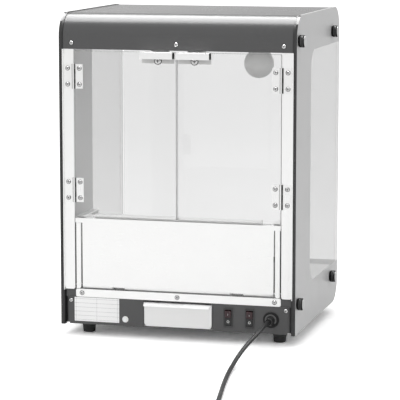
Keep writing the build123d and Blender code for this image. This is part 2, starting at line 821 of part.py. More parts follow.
# Doors: pane, hinge leaves, pull and fixings
pane_back_y = face_y + door_thickness
pull_z = door_top_z + pull_lift
pull_screw_z = pull_z - pull_height + pull_screw_rise
for side, hand in sides:
    door_screw_points = [(side * door_screw_x, z) for z in hinge_rows]
    pull_screw_point = (side * pull_middle, pull_screw_z)

    with BuildPart() as door_pane:
        with BuildSketch(at_y(pane_back_y)) as pane_face:
            rect_x(side, door_gap / 2, base_z + door_bottom, door_outer, door_top_z)
            fillet(pane_face.vertices(), door_gap)
            with Locations(*door_screw_points):
                Circle(screw_hole, mode=Mode.SUBTRACT)
            with Locations(pull_screw_point):
                Circle(pull_shank_radius + screw_hole_clearance, mode=Mode.SUBTRACT)
        extrude(amount=door_thickness)
    door_pane.part.label = f"door_pane_{hand}"
    export_step(door_pane.part, f"parts/door_pane_{hand}.step")

    with BuildPart() as door_leaves:
        for z in hinge_levels:
            add(hinge_leaf(side, z, door_leaf_reach, 1))
    door_leaves.part.label = f"door_hinge_leaves_{hand}"
    export_step(door_leaves.part, f"parts/door_hinge_leaves_{hand}.step")

    with BuildPart() as door_pull:
        with BuildSketch(at_x(low_x(side, pull_start, pull_start + pull_width))) as pull_section:
            rect(face_y - pull_sheet, pull_z - pull_height, face_y, pull_z)
            rect(face_y - pull_reach, pull_z - pull_sheet, face_y, pull_z)
            rect(face_y - pull_reach, pull_z - pull_lip, face_y - pull_reach + pull_sheet, pull_z)
            fillet(pull_section.vertices().group_by(Axis.Y)[-1], pull_sheet)
        extrude(amount=pull_width)
        with BuildSketch(at_y(face_y)):
            with Locations(pull_screw_point):
                Circle(pull_shank_radius + screw_hole_clearance)
        extrude(amount=pull_sheet, mode=Mode.SUBTRACT)
    door_pull.part.label = f"door_pull_{hand}"
    export_step(door_pull.part, f"parts/door_pull_{hand}.step")

    with BuildPart() as door_fixings:
        for points, head_y, head_radius, head_height, radius in (
            (door_screw_points, face_y - leaf_thickness, screw_head_radius, screw_head_height, screw_radius),
            ([pull_screw_point], face_y - pull_sheet, pull_screw_radius, pull_screw_head, pull_shank_radius),
        ):
            with BuildSketch(at_y(head_y)):
                with Locations(*points):
                    Circle(head_radius)
            extrude(amount=head_height)
            with BuildSketch(at_y(pane_back_y + door_nut_height)):
                with Locations(*points):
                    Circle(radius)
            extrude(amount=pane_back_y + door_nut_height - head_y)
            with BuildSketch(at_y(pane_back_y + door_nut_height)):
                with Locations(*points):
                    RegularPolygon(door_nut_radius + radius - screw_radius, 6)
            extrude(amount=door_nut_height)
    door_fixings.part.label = f"door_fixings_{hand}"
    export_step(door_fixings.part, f"parts/door_fixings_{hand}.step")

# Serving flap: wide top band, body between the cheek strips, curled lower edge, eyed ends on the rod
curl_inner = flap_curl - sheet
with BuildPart() as chip_flap:
    with BuildSketch(at_y(face_y + sheet)):
        rect(-flap_body_half, rod_z, flap_body_half, base_z + flap_top)
        rect(-flap_band_half, base_z + cheek_strip_top + flap_band_gap, flap_band_half,
             base_z + flap_top)
    extrude(amount=sheet)
    with BuildSketch(at_x(-flap_body_half)):
        with Locations((rod_y, rod_z)):
            Circle(flap_curl)
            Circle(curl_inner, mode=Mode.SUBTRACT)
        rect(rod_y - flap_curl, rod_z, rod_y + flap_curl, rod_z + flap_curl, mode=Mode.SUBTRACT)
    extrude(amount=2 * flap_body_half)
    for side, hand in sides:
        with BuildSketch(at_x(side * bracket_x - bracket_width / 2 - notch_gap)):
            rect(face_y + notch_setback, rod_z - flap_curl - 1, rod_y + flap_curl + 1,
                 rod_z - flap_curl * tan(radians(notch_angle)))
            rect(rod_y, rod_z - flap_curl, rod_y + flap_curl + 1, rod_z + 0.1)
        extrude(amount=bracket_width + 2 * notch_gap, mode=Mode.SUBTRACT)
        with BuildSketch(at_x(low_x(side, flap_body_half - sheet, flap_body_half))):
            with Locations((rod_y, rod_z)):
                Circle(flap_curl)
                Circle(rod_radius + rod_clearance, mode=Mode.SUBTRACT)
        extrude(amount=sheet)
chip_flap.part.label = "chip_flap"
export_step(chip_flap.part, "parts/chip_flap.step")

# Crumb drawer: bright front with a slanting lip, and behind it a folded tray with welded ends
drawer_front_y = front + drawer_front_setback
drawer_top_z = base_z + drawer_top
lip_left = drawer_left - drawer_lip_overhang
lip_right = drawer_right + drawer_lip_overhang
with BuildPart() as drawer_front:
    with BuildSketch(at_y(drawer_front_y + drawer_sheet)) as drawer_face:
        rect(drawer_left, base_z + drawer_bottom, drawer_right, drawer_top_z)
        fillet(drawer_face.vertices().group_by(Axis.Y)[0], drawer_corner)
    extrude(amount=drawer_sheet)
    with BuildSketch(at_x(lip_left)):
        with BuildLine():
            Polyline(
                (drawer_front_y, drawer_top_z),
                (drawer_front_y - drawer_lip, drawer_top_z - drawer_lip_fall),
                (drawer_front_y - drawer_lip, drawer_top_z - drawer_lip_fall - drawer_sheet),
                (drawer_front_y, drawer_top_z - drawer_sheet),
                close=True,
            )
        make_face()
    extrude(amount=lip_right - lip_left)
    with BuildSketch(at_z(base_z)):
        for edge, inward in ((lip_left, 1), (lip_right, -1)):
            with BuildLine():
                Polyline(
                    (edge, drawer_front_y),
                    (edge, drawer_front_y - drawer_lip),
                    (edge + inward * drawer_lip_mitre, drawer_front_y - drawer_lip),
                    close=True,
                )
            make_face()
    extrude(amount=drawer_top, mode=Mode.SUBTRACT)
drawer_front.part.label = "drawer_front"
export_step(drawer_front.part, "parts/drawer_front.step")

tray_y = drawer_front_y + drawer_sheet
tray_z = floor_z + tray_rise - sheet
tray_left = drawer_x - tray_width / 2
tray_right = drawer_x + tray_width / 2
tray_back_y = tray_y + tray_depth
tray_end = drawer_sheet + tray_seam
with BuildPart() as drawer_tray:
    with BuildSketch(at_y(tray_back_y - tray_end)):
        rect(tray_left, tray_z, tray_right, tray_z + tray_height)
        rect(tray_left + drawer_sheet, tray_z + drawer_sheet, tray_right - drawer_sheet,
             tray_z + tray_height, mode=Mode.SUBTRACT)
    extrude(amount=tray_depth - 2 * tray_end)
    for end_y in (tray_y + drawer_sheet, tray_back_y):
        with BuildSketch(at_y(end_y)):
            rect(tray_left, tray_z, tray_right, tray_z + tray_height)
        extrude(amount=drawer_sheet)
drawer_tray.part.label = "drawer_tray"
export_step(drawer_tray.part, "parts/drawer_tray.step")

# Drawer runners: one folded frame with a shelf and a guide at each side and a stop at the back
runner_y = rail_y + sheet + fit_gap
runner_end_y = tray_back_y + fit_gap + sheet
runner_inner = tray_width / 2 + runner_side_gap
with BuildPart() as drawer_runners:
    for side, hand in sides:
        with BuildSketch(at_x(drawer_x + low_x(side, runner_inner, runner_inner + drawer_sheet))):
            rect(runner_y, floor_z, runner_end_y, floor_z + runner_height)
        extrude(amount=drawer_sheet)
        start = drawer_x + low_x(side, runner_inner - runner_shelf, runner_inner)
        with BuildSketch(at_z(floor_z)):
            rect(start, runner_y, start + runner_shelf, runner_end_y)
        extrude(amount=tray_z - fit_gap - floor_z)
    with BuildSketch(at_y(runner_end_y)):
        rect(drawer_x - runner_inner - drawer_sheet, floor_z, drawer_x + runner_inner + drawer_sheet,
             floor_z + runner_height)
    extrude(amount=sheet)
drawer_runners.part.label = "drawer_runners"
export_step(drawer_runners.part, "parts/drawer_runners.step")

# Switches: each housing clips into the base cover, and its rocker turns on two trunnions
switch_z = base_z + switch_level
bezel_y = cover_y - bezel_thickness
pivot_y = bezel_y + rocker_pivot_depth
with BuildPart() as switch_housings:
    for x in switch_places.values():
        with BuildSketch(at_y(cover_y)) as bezel_face:
            rect(x - bezel_width / 2, switch_z - bezel_height / 2, x + bezel_width / 2,
                 switch_z + bezel_height / 2)
            fillet(bezel_face.vertices(), 1.5)
        extrude(amount=bezel_thickness)
        with BuildSketch(at_y(cover_y + switch_depth)):
            rect(x - switch_body_half_width, switch_z - switch_body_half_height,
                 x + switch_body_half_width, switch_z + switch_body_half_height)
        extrude(amount=switch_depth)
        with BuildSketch(at_y(cover_y + switch_depth - switch_wall)):
            rect(x - switch_body_half_width + switch_wall, switch_z - switch_mouth_half_height,
                 x + switch_body_half_width - switch_wall, switch_z + switch_mouth_half_height)
        extrude(amount=switch_depth + bezel_thickness, mode=Mode.SUBTRACT)
        with BuildSketch(at_x(x - switch_body_half_width)):
            with Locations((pivot_y, switch_z)):
                Circle(trunnion_radius + pin_clearance)
        extrude(amount=2 * switch_body_half_width, mode=Mode.SUBTRACT)
switch_housings.part.label = "switch_housings"
export_step(switch_housings.part, "parts/switch_housings.step")

for name, x in switch_places.items():
    tilt = radians(rocker_tilt)
    rocker_plane = Plane(origin=(x - rocker_half_width, pivot_y, switch_z), x_dir=(0, cos(tilt), sin(tilt)),
                         z_dir=(1, 0, 0))
    rocker_end = rocker_rise + rocker_half_height * tan(tilt)
    with BuildPart() as rocker:
        with BuildSketch(rocker_plane):
            with BuildLine():
                Polyline(
                    (-rocker_rise, 0),
                    (-rocker_end, rocker_half_height),
                    (rocker_tail - 1, rocker_half_height),
                    (rocker_tail, 0),
                    (rocker_tail - 1, -rocker_half_height),
                    (-rocker_end, -rocker_half_height),
                    close=True,
                )
            make_face()
        extrude(amount=2 * rocker_half_width)
        with BuildSketch(at_x(x - rocker_half_width - trunnion_length)):
            with Locations((pivot_y, switch_z)):
                Circle(trunnion_radius)
        extrude(amount=2 * (rocker_half_width + trunnion_length))
    rocker.part.label = f"rocker_{name}"
    export_step(rocker.part, f"parts/rocker_{name}.step")

# Cable gland: flange and tapered barrel outside, thread through the cover
gland_z = base_z + gland_level
gland_tip_y = cover_y - gland_flange - gland_barrel
with BuildPart() as cable_gland:
    with BuildSketch(at_y(cover_y)):
        with Locations((gland_x, gland_z)):
            Circle(gland_flange_radius)
    extrude(amount=gland_flange)
    with BuildSketch(at_y(cover_y - gland_flange)):
        with Locations((gland_x, gland_z)):
            Circle(gland_root_radius)
    with BuildSketch(at_y(gland_tip_y)):
        with Locations((gland_x, gland_z)):
            Circle(gland_tip_radius)
    loft()
    with BuildSketch(at_y(cover_y + gland_thread)):
        with Locations((gland_x, gland_z)):
            Circle(gland_thread_radius)
    extrude(amount=gland_thread)
cable_gland.part.label = "cable_gland"
export_step(cable_gland.part, "parts/cable_gland.step")

# Plug of the spare hole
with BuildPart() as hole_plug:
    with BuildSketch(at_y(cover_y)):
        with Locations((plug_x, base_z + plug_level)):
            Circle(plug_radius)
    extrude(amount=plug_head)
    fillet(hole_plug.faces().sort_by(Axis.Y)[0].edges(), plug_head / 2)
    with BuildSketch(at_y(cover_y + plug_stem)):
        with Locations((plug_x, base_z + plug_level)):
            Circle(plug_stem_radius)
    extrude(amount=plug_stem)
hole_plug.part.label = "hole_plug"
export_step(hole_plug.part, "parts/hole_plug.step")

# Rating plate, bare
with BuildPart() as rating_plate:
    with BuildSketch(at_y(cover_y)):
        rect(plate_left, base_z + plate_low, plate_right, base_z + plate_high)
    extrude(amount=plate_thickness)
rating_plate.part.label = "rating_plate"
export_step(rating_plate.part, "parts/rating_plate.step")

# Rubber feet under the base pan
with BuildPart() as rubber_feet:
    with BuildSketch(at_z(pan_z)):
        with Locations(*foot_points):
            Circle(foot_radius)
    foot_taper = (foot_radius - foot_tip_radius) / pan_z
    extrude(amount=-pan_z, taper=foot_taper * 180 / pi)
rubber_feet.part.label = "rubber_feet"
export_step(rubber_feet.part, "parts/rubber_feet.step")

# Knobs that clamp the glass sides, with their studs and the nuts inside the cabinet
nut_seats = {"upper": ceiling_half - sheet, "lower": post_web}
capped = ("left", "front")
knob_face = half_width + fit_gap
for side, hand in sides:
    for row, z in knob_rows.items():
        for column, y in knob_columns.items():
            if (hand, column) == capped:
                continue
            with BuildPart() as knob:
                grip_length = knob_length - cap_thickness
                with BuildSketch(at_x(low_x(side, knob_face, knob_face + grip_length))):
                    with Locations((y, z)):
                        Circle(knob_radius)
                        with PolarLocations(knob_radius, knob_grooves):
                            Circle(groove_radius, mode=Mode.SUBTRACT)
                extrude(amount=grip_length)
                with BuildSketch(at_x(low_x(side, knob_face + grip_length, knob_face + knob_length))):
                    with Locations((y, z)):
                        Circle(cap_radius)
                extrude(amount=cap_thickness)
                stud_end = nut_seats[row] - nut_length - stud_tail
                with BuildSketch(at_x(low_x(side, stud_end, knob_face))):
                    with Locations((y, z)):
                        Circle(stud_radius)
                extrude(amount=knob_face - stud_end)
            knob.part.label = f"knob_{hand}_{row}_{column}"
            export_step(knob.part, f"parts/knob_{hand}_{row}_{column}.step")

# Low caps in place of knobs at the operator's edge of the left side, with their studs
with BuildPart() as pane_caps:
    for row, z in knob_rows.items():
        stud_end = nut_seats[row] - nut_length - stud_tail
        for near, far, radius in ((half_width, half_width + pane_cap_height, pane_cap_radius),
                                  (stud_end, half_width, stud_radius)):
            with BuildSketch(at_x(low_x(-1, near, far))):
                with Locations((knob_columns["front"], z)):
                    Circle(radius)
            extrude(amount=far - near)
pane_caps.part.label = "pane_caps"
export_step(pane_caps.part, "parts/pane_caps.step")

with BuildPart() as lock_nuts:
    for side, hand in sides:
        for row, z in knob_rows.items():
            with BuildSketch(at_x(low_x(side, nut_seats[row] - nut_length, nut_seats[row]))):
                with Locations(*[(y, z) for y in knob_columns.values()]):
                    RegularPolygon(nut_radius, 6)
                    Circle(stud_radius + stud_clearance, mode=Mode.SUBTRACT)
            extrude(amount=nut_length)
    with BuildSketch(at_y(rail_y + locknut_length)):
        with Locations((gland_x, gland_z)):
            RegularPolygon(locknut_radius, 6)
            Circle(gland_thread_radius + 0.05, mode=Mode.SUBTRACT)
    extrude(amount=locknut_length)
lock_nuts.part.label = "lock_nuts"
export_step(lock_nuts.part, "parts/lock_nuts.step")

# Screws of the hood, sill, base cover, apron and post hinges: head on the sheet, shank behind it
front_screws = (
    (hood_screw_points, front + hood_setback),
    (sill_screw_points, cover_y),
    (cover_screw_points, cover_y),
    (post_screw_points, face_y - leaf_thickness),
)
with BuildPart() as cabinet_screws:
    for points, head_y in front_screws:
        with BuildSketch(at_y(head_y)):
            with Locations(*points):
                Circle(screw_head_radius)
        extrude(amount=screw_head_height)
        with BuildSketch(at_y(head_y + screw_length)):
            with Locations(*points):
                Circle(screw_radius)
        extrude(amount=screw_length)
    with BuildSketch(at_y(back - hood_setback + screw_head_height)):
        with Locations(*hood_screw_points, *apron_screw_points):
            Circle(screw_head_radius)
    extrude(amount=screw_head_height)
    with BuildSketch(at_y(back - hood_setback)):
        with Locations(*hood_screw_points, *apron_screw_points):
            Circle(screw_radius)
    extrude(amount=screw_length + glass_thickness)
cabinet_screws.part.label = "cabinet_screws"
export_step(cabinet_screws.part, "parts/cabinet_screws.step")

# Lamp: bulb hanging through the ceiling, its holder, and the bracket that bridges the hole
bulb_cap_z = lamp_z + bulb_cap_rise
bulb_top_z = bulb_cap_z + bulb_cap_length
lamp_plane = Plane.XZ.offset(-lamp_y)
with BuildPart() as lamp_bulb:
    with BuildSketch(lamp_plane):
        with BuildLine():
            low_point = (lamp_x, lamp_z - bulb_radius)
            side_point = (lamp_x + bulb_radius * 0.8, lamp_z + bulb_radius * 0.6)
            ThreePointArc(low_point, (lamp_x + bulb_radius, lamp_z), side_point)
            Spline(
                side_point,
                (lamp_x + bulb_neck_radius, lamp_z + bulb_neck_rise + bulb_shoulder),
                (lamp_x + bulb_cap_radius, bulb_cap_z),
                tangents=((-0.6, 0.8), (0, 1)),
            )
            Polyline(
                (lamp_x + bulb_cap_radius, bulb_cap_z),
                (lamp_x + bulb_cap_radius, bulb_top_z - bulb_cap_taper),
                (lamp_x + bulb_cap_radius / 3, bulb_top_z),
                (lamp_x, bulb_top_z),
                low_point,
            )
        make_face()
    revolve(axis=Axis((lamp_x, lamp_y, 0), (0, 0, 1)))
lamp_bulb.part.label = "lamp_bulb"
export_step(lamp_bulb.part, "parts/lamp_bulb.step")

holder_top_z = hood_z + lamp_bracket_rise - sheet
with BuildPart() as lamp_holder:
    with BuildSketch(at_z(holder_top_z - holder_length)):
        with Locations((lamp_x, lamp_y)):
            Circle(holder_radius)
    extrude(amount=holder_length)
    with BuildSketch(at_z(holder_top_z - holder_length)):
        with Locations((lamp_x, lamp_y)):
            Circle(bulb_neck_radius + holder_mouth_gap)
    extrude(amount=bulb_cap_z + holder_mouth_lap - (holder_top_z - holder_length), mode=Mode.SUBTRACT)
    with BuildSketch(at_z(holder_top_z - holder_length)):
        with Locations((lamp_x, lamp_y)):
            Circle(bulb_cap_radius + fit_gap)
    extrude(amount=bulb_top_z + fit_gap - (holder_top_z - holder_length), mode=Mode.SUBTRACT)
lamp_holder.part.label = "lamp_holder"
export_step(lamp_holder.part, "parts/lamp_holder.step")

bracket_low_z = hood_z + sheet
with BuildPart() as inner_brackets:
    with BuildSketch(at_y(lamp_y + lamp_bracket_depth / 2)):
        rect(lamp_x - lamp_bracket_half, bracket_low_z, lamp_x + lamp_bracket_half,
             hood_z + lamp_bracket_rise)
        rect(lamp_x - lamp_bracket_half + sheet, bracket_low_z, lamp_x + lamp_bracket_half - sheet,
             hood_z + lamp_bracket_rise - sheet, mode=Mode.SUBTRACT)
        for side, hand in sides:
            start = lamp_x + low_x(side, lamp_bracket_half - sheet, lamp_bracket_half + lamp_bracket_foot)
            rect(start, bracket_low_z, start + lamp_bracket_foot + sheet, bracket_low_z + sheet)
    extrude(amount=lamp_bracket_depth)
    for y in (front + heater_front + heater_bracket_inset, back - heater_rear - heater_bracket_inset):
        for side, hand in sides:
            near = heater_half_width - heater_bracket_width / 2
            far = heater_half_width + heater_bracket_width / 2
            with BuildSketch(at_y(y)):
                rect_x(side, near, floor_z, far, base_z + heater_bracket_top)
                with Locations((side * heater_half_width, base_z + heater_level)):
                    Circle(heater_radius + rod_clearance, mode=Mode.SUBTRACT)
            extrude(amount=sheet)
            with BuildSketch(at_z(floor_z)):
                rect_x(side, near, y - sheet, far, y + cheek_foot)
            extrude(amount=sheet)
inner_brackets.part.label = "inner_brackets"
export_step(inner_brackets.part, "parts/inner_brackets.step")

# Wire cover: takes the lamp's wires up the left pane
wire_cover_x = fit_gap - glass_inner
wire_cover_y = front + wire_cover_inset
with BuildPart() as wire_cover:
    with BuildSketch(at_z(rail_z + fit_gap)):
        rect(wire_cover_x, wire_cover_y, wire_cover_x + wire_cover_depth, wire_cover_y + wire_cover_length)
        rect(wire_cover_x, wire_cover_y + wire_cover_sheet, wire_cover_x + wire_cover_depth - wire_cover_sheet,
             wire_cover_y + wire_cover_length - wire_cover_sheet, mode=Mode.SUBTRACT)
    extrude(amount=hood_z - rail_z - 2 * fit_gap)
wire_cover.part.label = "wire_cover"
export_step(wire_cover.part, "parts/wire_cover.step")

# Heating element: a wide hairpin under the deck, open towards the operator
heater_z = base_z + heater_level
heater_end_y = back - heater_rear
with BuildPart() as heating_element:
    with BuildLine() as element_path:
        FilletPolyline(
            (-heater_half_width, front + heater_front, heater_z),
            (-heater_half_width, heater_end_y, heater_z),
            (heater_half_width, heater_end_y, heater_z),
            (heater_half_width, front + heater_front, heater_z),
            radius=heater_bend,
        )
    with BuildSketch(Plane(origin=(-heater_half_width, front + heater_front, heater_z), z_dir=(0, 1, 0))):
        Circle(heater_radius)
    sweep()
heating_element.part.label = "heating_element"
export_step(heating_element.part, "parts/heating_element.step")

# Disc thermostat against the underside of the rear rail's flange
thermostat_y = window_inner_y - rear_rail_flange / 2
with BuildPart() as thermostat:
    with BuildSketch(at_z(rail_z - sheet)):
        with Locations((heater_half_width, thermostat_y)):
            Circle(thermostat_radius)
    extrude(amount=-thermostat_height)
    with BuildSketch(at_z(rail_z - sheet)):
        rect(heater_half_width - 2 * thermostat_radius, thermostat_y - thermostat_radius / 2,
             heater_half_width + 2 * thermostat_radius, thermostat_y + thermostat_radius / 2)
    extrude(amount=-sheet / 2)
thermostat.part.label = "thermostat"
export_step(thermostat.part, "parts/thermostat.step")

# Terminal block on the base pan behind the gland
terminal_y = front + terminal_inset
with BuildPart() as terminal_block:
    with BuildSketch(at_z(floor_z)):
        rect(terminal_x - terminal_length / 2, terminal_y, terminal_x + terminal_length / 2,
             terminal_y + terminal_depth)
    extrude(amount=terminal_height)
    with BuildSketch(at_z(floor_z + terminal_height - terminal_recess)):
        with Locations((terminal_x, terminal_y + terminal_depth / 2)):
            with GridLocations(terminal_length / 4, 0, 4, 1):
                Circle(terminal_length / 16)
    extrude(amount=terminal_recess, mode=Mode.SUBTRACT)
terminal_block.part.label = "terminal_block"
export_step(terminal_block.part, "parts/terminal_block.step")


# Mains cord: the free length from the gland to the coil
def corner_radii(points):
    """Arc radius at each corner of a cord's route: as large as its two runs allow."""
    radii = []
    for before, corner, after in zip(points, points[1:], points[2:]):
        run_in = Vector(*corner) - Vector(*before)
        run_out = Vector(*after) - Vector(*corner)
        turn = radians(run_in.get_angle(run_out))
        radii.append(0.45 * min(run_in.length, run_out.length) / tan(turn / 2))
    return radii


cord_radius = cord_diameter / 2
gland_tip = (gland_x, gland_tip_y, gland_z)
route = [gland_tip, (gland_x, gland_tip_y - cord_start_run, gland_z)] + cord_route
radii = corner_radii(route)
print("cord radii:", [round(r, 1) for r in radii])
with BuildPart() as cord_lead:
    with BuildLine() as lead_path:
        FilletPolyline(*route, radius=radii)
    with BuildSketch(Plane(origin=gland_tip, z_dir=(0, -1, 0))):
        Circle(cord_radius)
    sweep()
lead_length = lead_path.wire().length
print("lead length:", round(lead_length, 1), "volume over section times length:",
      round(cord_lead.part.volume / (pi * cord_radius**2 * lead_length), 4))
cord_lead.part.label = "cord_lead"
export_step(cord_lead.part, "parts/cord_lead.step")

# Stored coil: half turns spiral in on the bench, climb at the inside and spiral out on top
coil_pitch = cord_diameter + coil_gap
turns_down = [coil_outer_radius - coil_pitch / 2 * i for i in range(coil_half_turns_down)]
climb_radius = turns_down[-1] - coil_pitch / 2
turns_up = [climb_radius + coil_pitch / 2 * (i + 1) for i in range(coil_half_turns_down)]
last_radius = turns_up[-1] + coil_pitch / 2
coil_z = cord_route[-1][2]
coil_top_z = coil_z + coil_pitch
half_turns = [(r, 0.0) for r in turns_down] + [(climb_radius, coil_pitch)] + [(r, 0.0) for r in turns_up]
half_turns.append((last_radius, plug_axis_level - coil_top_z))
coil_start = Vector(*cord_route[-1])
with BuildPart() as cord_coil:
    with BuildLine() as coil_path:
        point = coil_start + Vector(0, -cord_diameter, 0)
        Line(coil_start, point)
        heading = -1
        for radius, climb in half_turns:
            swell = sqrt(radius**2 + climb**2 / 4)
            middle = point + Vector(heading * radius, heading * swell, climb / 2)
            end = point + Vector(heading * 2 * radius, 0, climb)
            TangentArc(point, middle, tangent=(0, heading, 0))
            TangentArc(middle, end, tangent=(heading * 2 * swell * radius, 0, swell * climb))
            point = end
            heading = -heading
        Line(point, point + Vector(0, -cord_diameter, 0))
    with BuildSketch(Plane(origin=coil_start, z_dir=(0, -1, 0))):
        Circle(cord_radius)
    sweep()
cord_end = point + Vector(0, -cord_diameter, 0)
coil_wire = coil_path.wire()
coil_length = coil_wire.length
samples = [coil_wire.position_at(i / 700) for i in range(701)]
apart = int(2 * cord_diameter / (coil_length / 700))
least = min((samples[i] - samples[j]).length for i in range(701) for j in range(i + apart, 701))
cord_section = pi * cord_radius**2
print("coil length:", round(coil_length, 1), "least gap:", round(least - cord_diameter, 2),
      "volume over section times length:", round(cord_coil.part.volume / (cord_section * coil_length), 4))
print("cord length in all:", round(lead_length + coil_length, 1))
cord_coil.part.label = "cord_coil"
export_step(cord_coil.part, "parts/cord_coil.step")

# Tie round the coil's turns on the side away from its two ends
tie_y = coil_start.Y - cord_diameter
tie_right_x = coil_start.X - 2 * coil_outer_radius + 2 * coil_pitch + cord_radius + tie_gap
tie_left_x = coil_start.X - 2 * coil_outer_radius - cord_radius - tie_gap
with BuildPart() as cord_tie:
    with BuildSketch(at_y(tie_y + tie_width / 2)) as tie_section:
        low_z = coil_z - cord_radius - tie_gap
        high_z = coil_top_z + cord_radius + tie_gap
        rect(tie_left_x - tie_thickness, low_z - tie_thickness, tie_right_x + tie_thickness,
             high_z + tie_thickness)
        fillet(tie_section.vertices(), 2 * tie_thickness)
        rect(tie_left_x, low_z, tie_right_x, high_z, mode=Mode.SUBTRACT)
    extrude(amount=tie_width)
cord_tie.part.label = "cord_tie"
export_step(cord_tie.part, "parts/cord_tie.step")

# Mains plug with its boot and pins
plug_back_y = cord_end.Y - plug_boot_length
with BuildPart() as mains_plug:
    plug_plane = Plane(origin=(cord_end.X, cord_end.Y, cord_end.Z), z_dir=(0, -1, 0))
    with BuildSketch(plug_plane):
        Circle(plug_boot_radius)
    with BuildSketch(plug_plane.offset(plug_boot_length)):
        Circle(plug_boot_radius * 1.5)
    loft()
    with BuildSketch(plug_plane.offset(plug_boot_length)):
        Circle(mains_plug_radius)
    extrude(amount=mains_plug_length)
    fillet(mains_plug.edges().filter_by(GeomType.CIRCLE).sort_by(SortBy.RADIUS)[-2:], mains_plug_rounding)
    with BuildSketch(plug_plane.offset(plug_boot_length + mains_plug_length)):
        with GridLocations(plug_pin_pitch, 0, 2, 1):
            Circle(plug_pin_radius)
    extrude(amount=plug_pin_length)
mains_plug.part.label = "mains_plug"
export_step(mains_plug.part, "parts/mains_plug.step")
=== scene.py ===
"""Countertop chip warmer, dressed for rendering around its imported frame.

Metres, except where a name or comment says millimetres. The operator stands at -Y and the customer at +Y; the
bench top is at Z = 0.
"""

import logging
import math
from dataclasses import asdict, dataclass, replace
from enum import Enum

import bmesh
import bpy
from mathutils import Matrix, Vector

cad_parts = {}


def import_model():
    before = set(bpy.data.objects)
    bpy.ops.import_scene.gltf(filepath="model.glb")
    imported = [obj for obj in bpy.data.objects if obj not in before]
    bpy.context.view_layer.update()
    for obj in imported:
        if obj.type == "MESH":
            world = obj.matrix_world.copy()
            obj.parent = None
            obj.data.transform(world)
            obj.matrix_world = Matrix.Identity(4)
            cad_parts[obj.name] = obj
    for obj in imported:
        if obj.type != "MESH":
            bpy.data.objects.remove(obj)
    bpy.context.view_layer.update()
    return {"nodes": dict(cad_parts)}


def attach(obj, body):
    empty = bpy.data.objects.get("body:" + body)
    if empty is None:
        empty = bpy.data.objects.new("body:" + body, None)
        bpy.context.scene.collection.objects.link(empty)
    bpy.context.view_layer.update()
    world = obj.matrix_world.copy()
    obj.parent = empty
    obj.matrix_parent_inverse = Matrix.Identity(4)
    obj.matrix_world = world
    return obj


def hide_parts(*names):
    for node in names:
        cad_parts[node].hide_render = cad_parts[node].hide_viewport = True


LOG = logging.getLogger("chip_warmer")
MM = 0.001
ROOT = "cabinet"
SMOOTH_ANGLE = math.radians(32)
QUARTER = math.pi / 2

Socket = bpy.types.NodeSocket
Piece = bpy.types.Object
Solid = bmesh.types.BMesh
Pair = tuple[float, float]
Triple = tuple[float, float, float]


class Side(Enum):
    """The two sides of the cabinet, as the operator sees them."""

    LEFT = -1
    RIGHT = 1

    @property
    def word(self) -> str:
        """The side's name as the nodes and bodies spell it."""
        return self.name.lower()


class Facing(Enum):
    """Where a fitting looks, as turns of its Z about X, Y and Z."""

    OPERATOR = (QUARTER, 0.0, 0.0)
    CUSTOMER = (-QUARTER, 0.0, 0.0)


class Nodes:
    """Writes nodes into a tree; a plain value is set on an input, and a socket is linked to it."""

    def __init__(self, tree: bpy.types.NodeTree) -> None:
        """Takes the tree to write into."""
        self.tree = tree

    def feed(self, node: bpy.types.Node, inputs: dict) -> None:
        """Sets or links a node's inputs, by name or number."""
        for key, value in inputs.items():
            if isinstance(value, Socket):
                self.tree.links.new(value, node.inputs[key])
            else:
                node.inputs[key].default_value = value

    def node(self, kind: str, inputs: dict | None = None, **values: object) -> bpy.types.Node:
        """Adds a node.

        Args:
            kind: the node's type.
            inputs: a plain value or a socket for each input, by name or number.
            values: the node's own properties.

        Returns:
            The node.
        """
        node = self.tree.nodes.new(kind)
        for key, value in values.items():
            setattr(node, key, value)
        self.feed(node, inputs or {})
        return node

    def math(self, operation: str, *terms: object, clamp: bool = False) -> Socket:
        """A Math node on sockets or numbers."""
        inputs = dict(enumerate(terms))
        return self.node("ShaderNodeMath", inputs, operation=operation, use_clamp=clamp).outputs[0]

    def times(self, one: object, other: object) -> Socket:
        """A product of sockets or numbers."""
        return self.math("MULTIPLY", one, other)

    def parts(self, vector: Socket) -> bpy.types.NodeOutputs:
        """A vector's three parts."""
        return self.node("ShaderNodeSeparateXYZ", {0: vector}).outputs

    def noise(self, vector: Socket, **inputs: object) -> Socket:
        """A noise texture's value."""
        return self.node("ShaderNodeTexNoise", {"Vector": vector, **inputs}).outputs["Fac"]

    def ranged(self, value: Socket, inputs: dict, **values: object) -> Socket:
        """A Map Range node on a value."""
        return self.node("ShaderNodeMapRange", {"Value": value, **inputs}, **values).outputs["Result"]

    def mixed(self, mask: Socket, colour: Socket, ink: Triple) -> Socket:
        """A colour with an ink laid over it where the mask says so."""
        mix = self.node("ShaderNodeMix", {"Factor": mask}, data_type="RGBA")
        under, over = (socket for socket in mix.inputs if socket.type == "RGBA")
        over.default_value = (*ink, 1.0)
        self.tree.links.new(colour, under)
        return next(socket for socket in mix.outputs if socket.type == "RGBA")


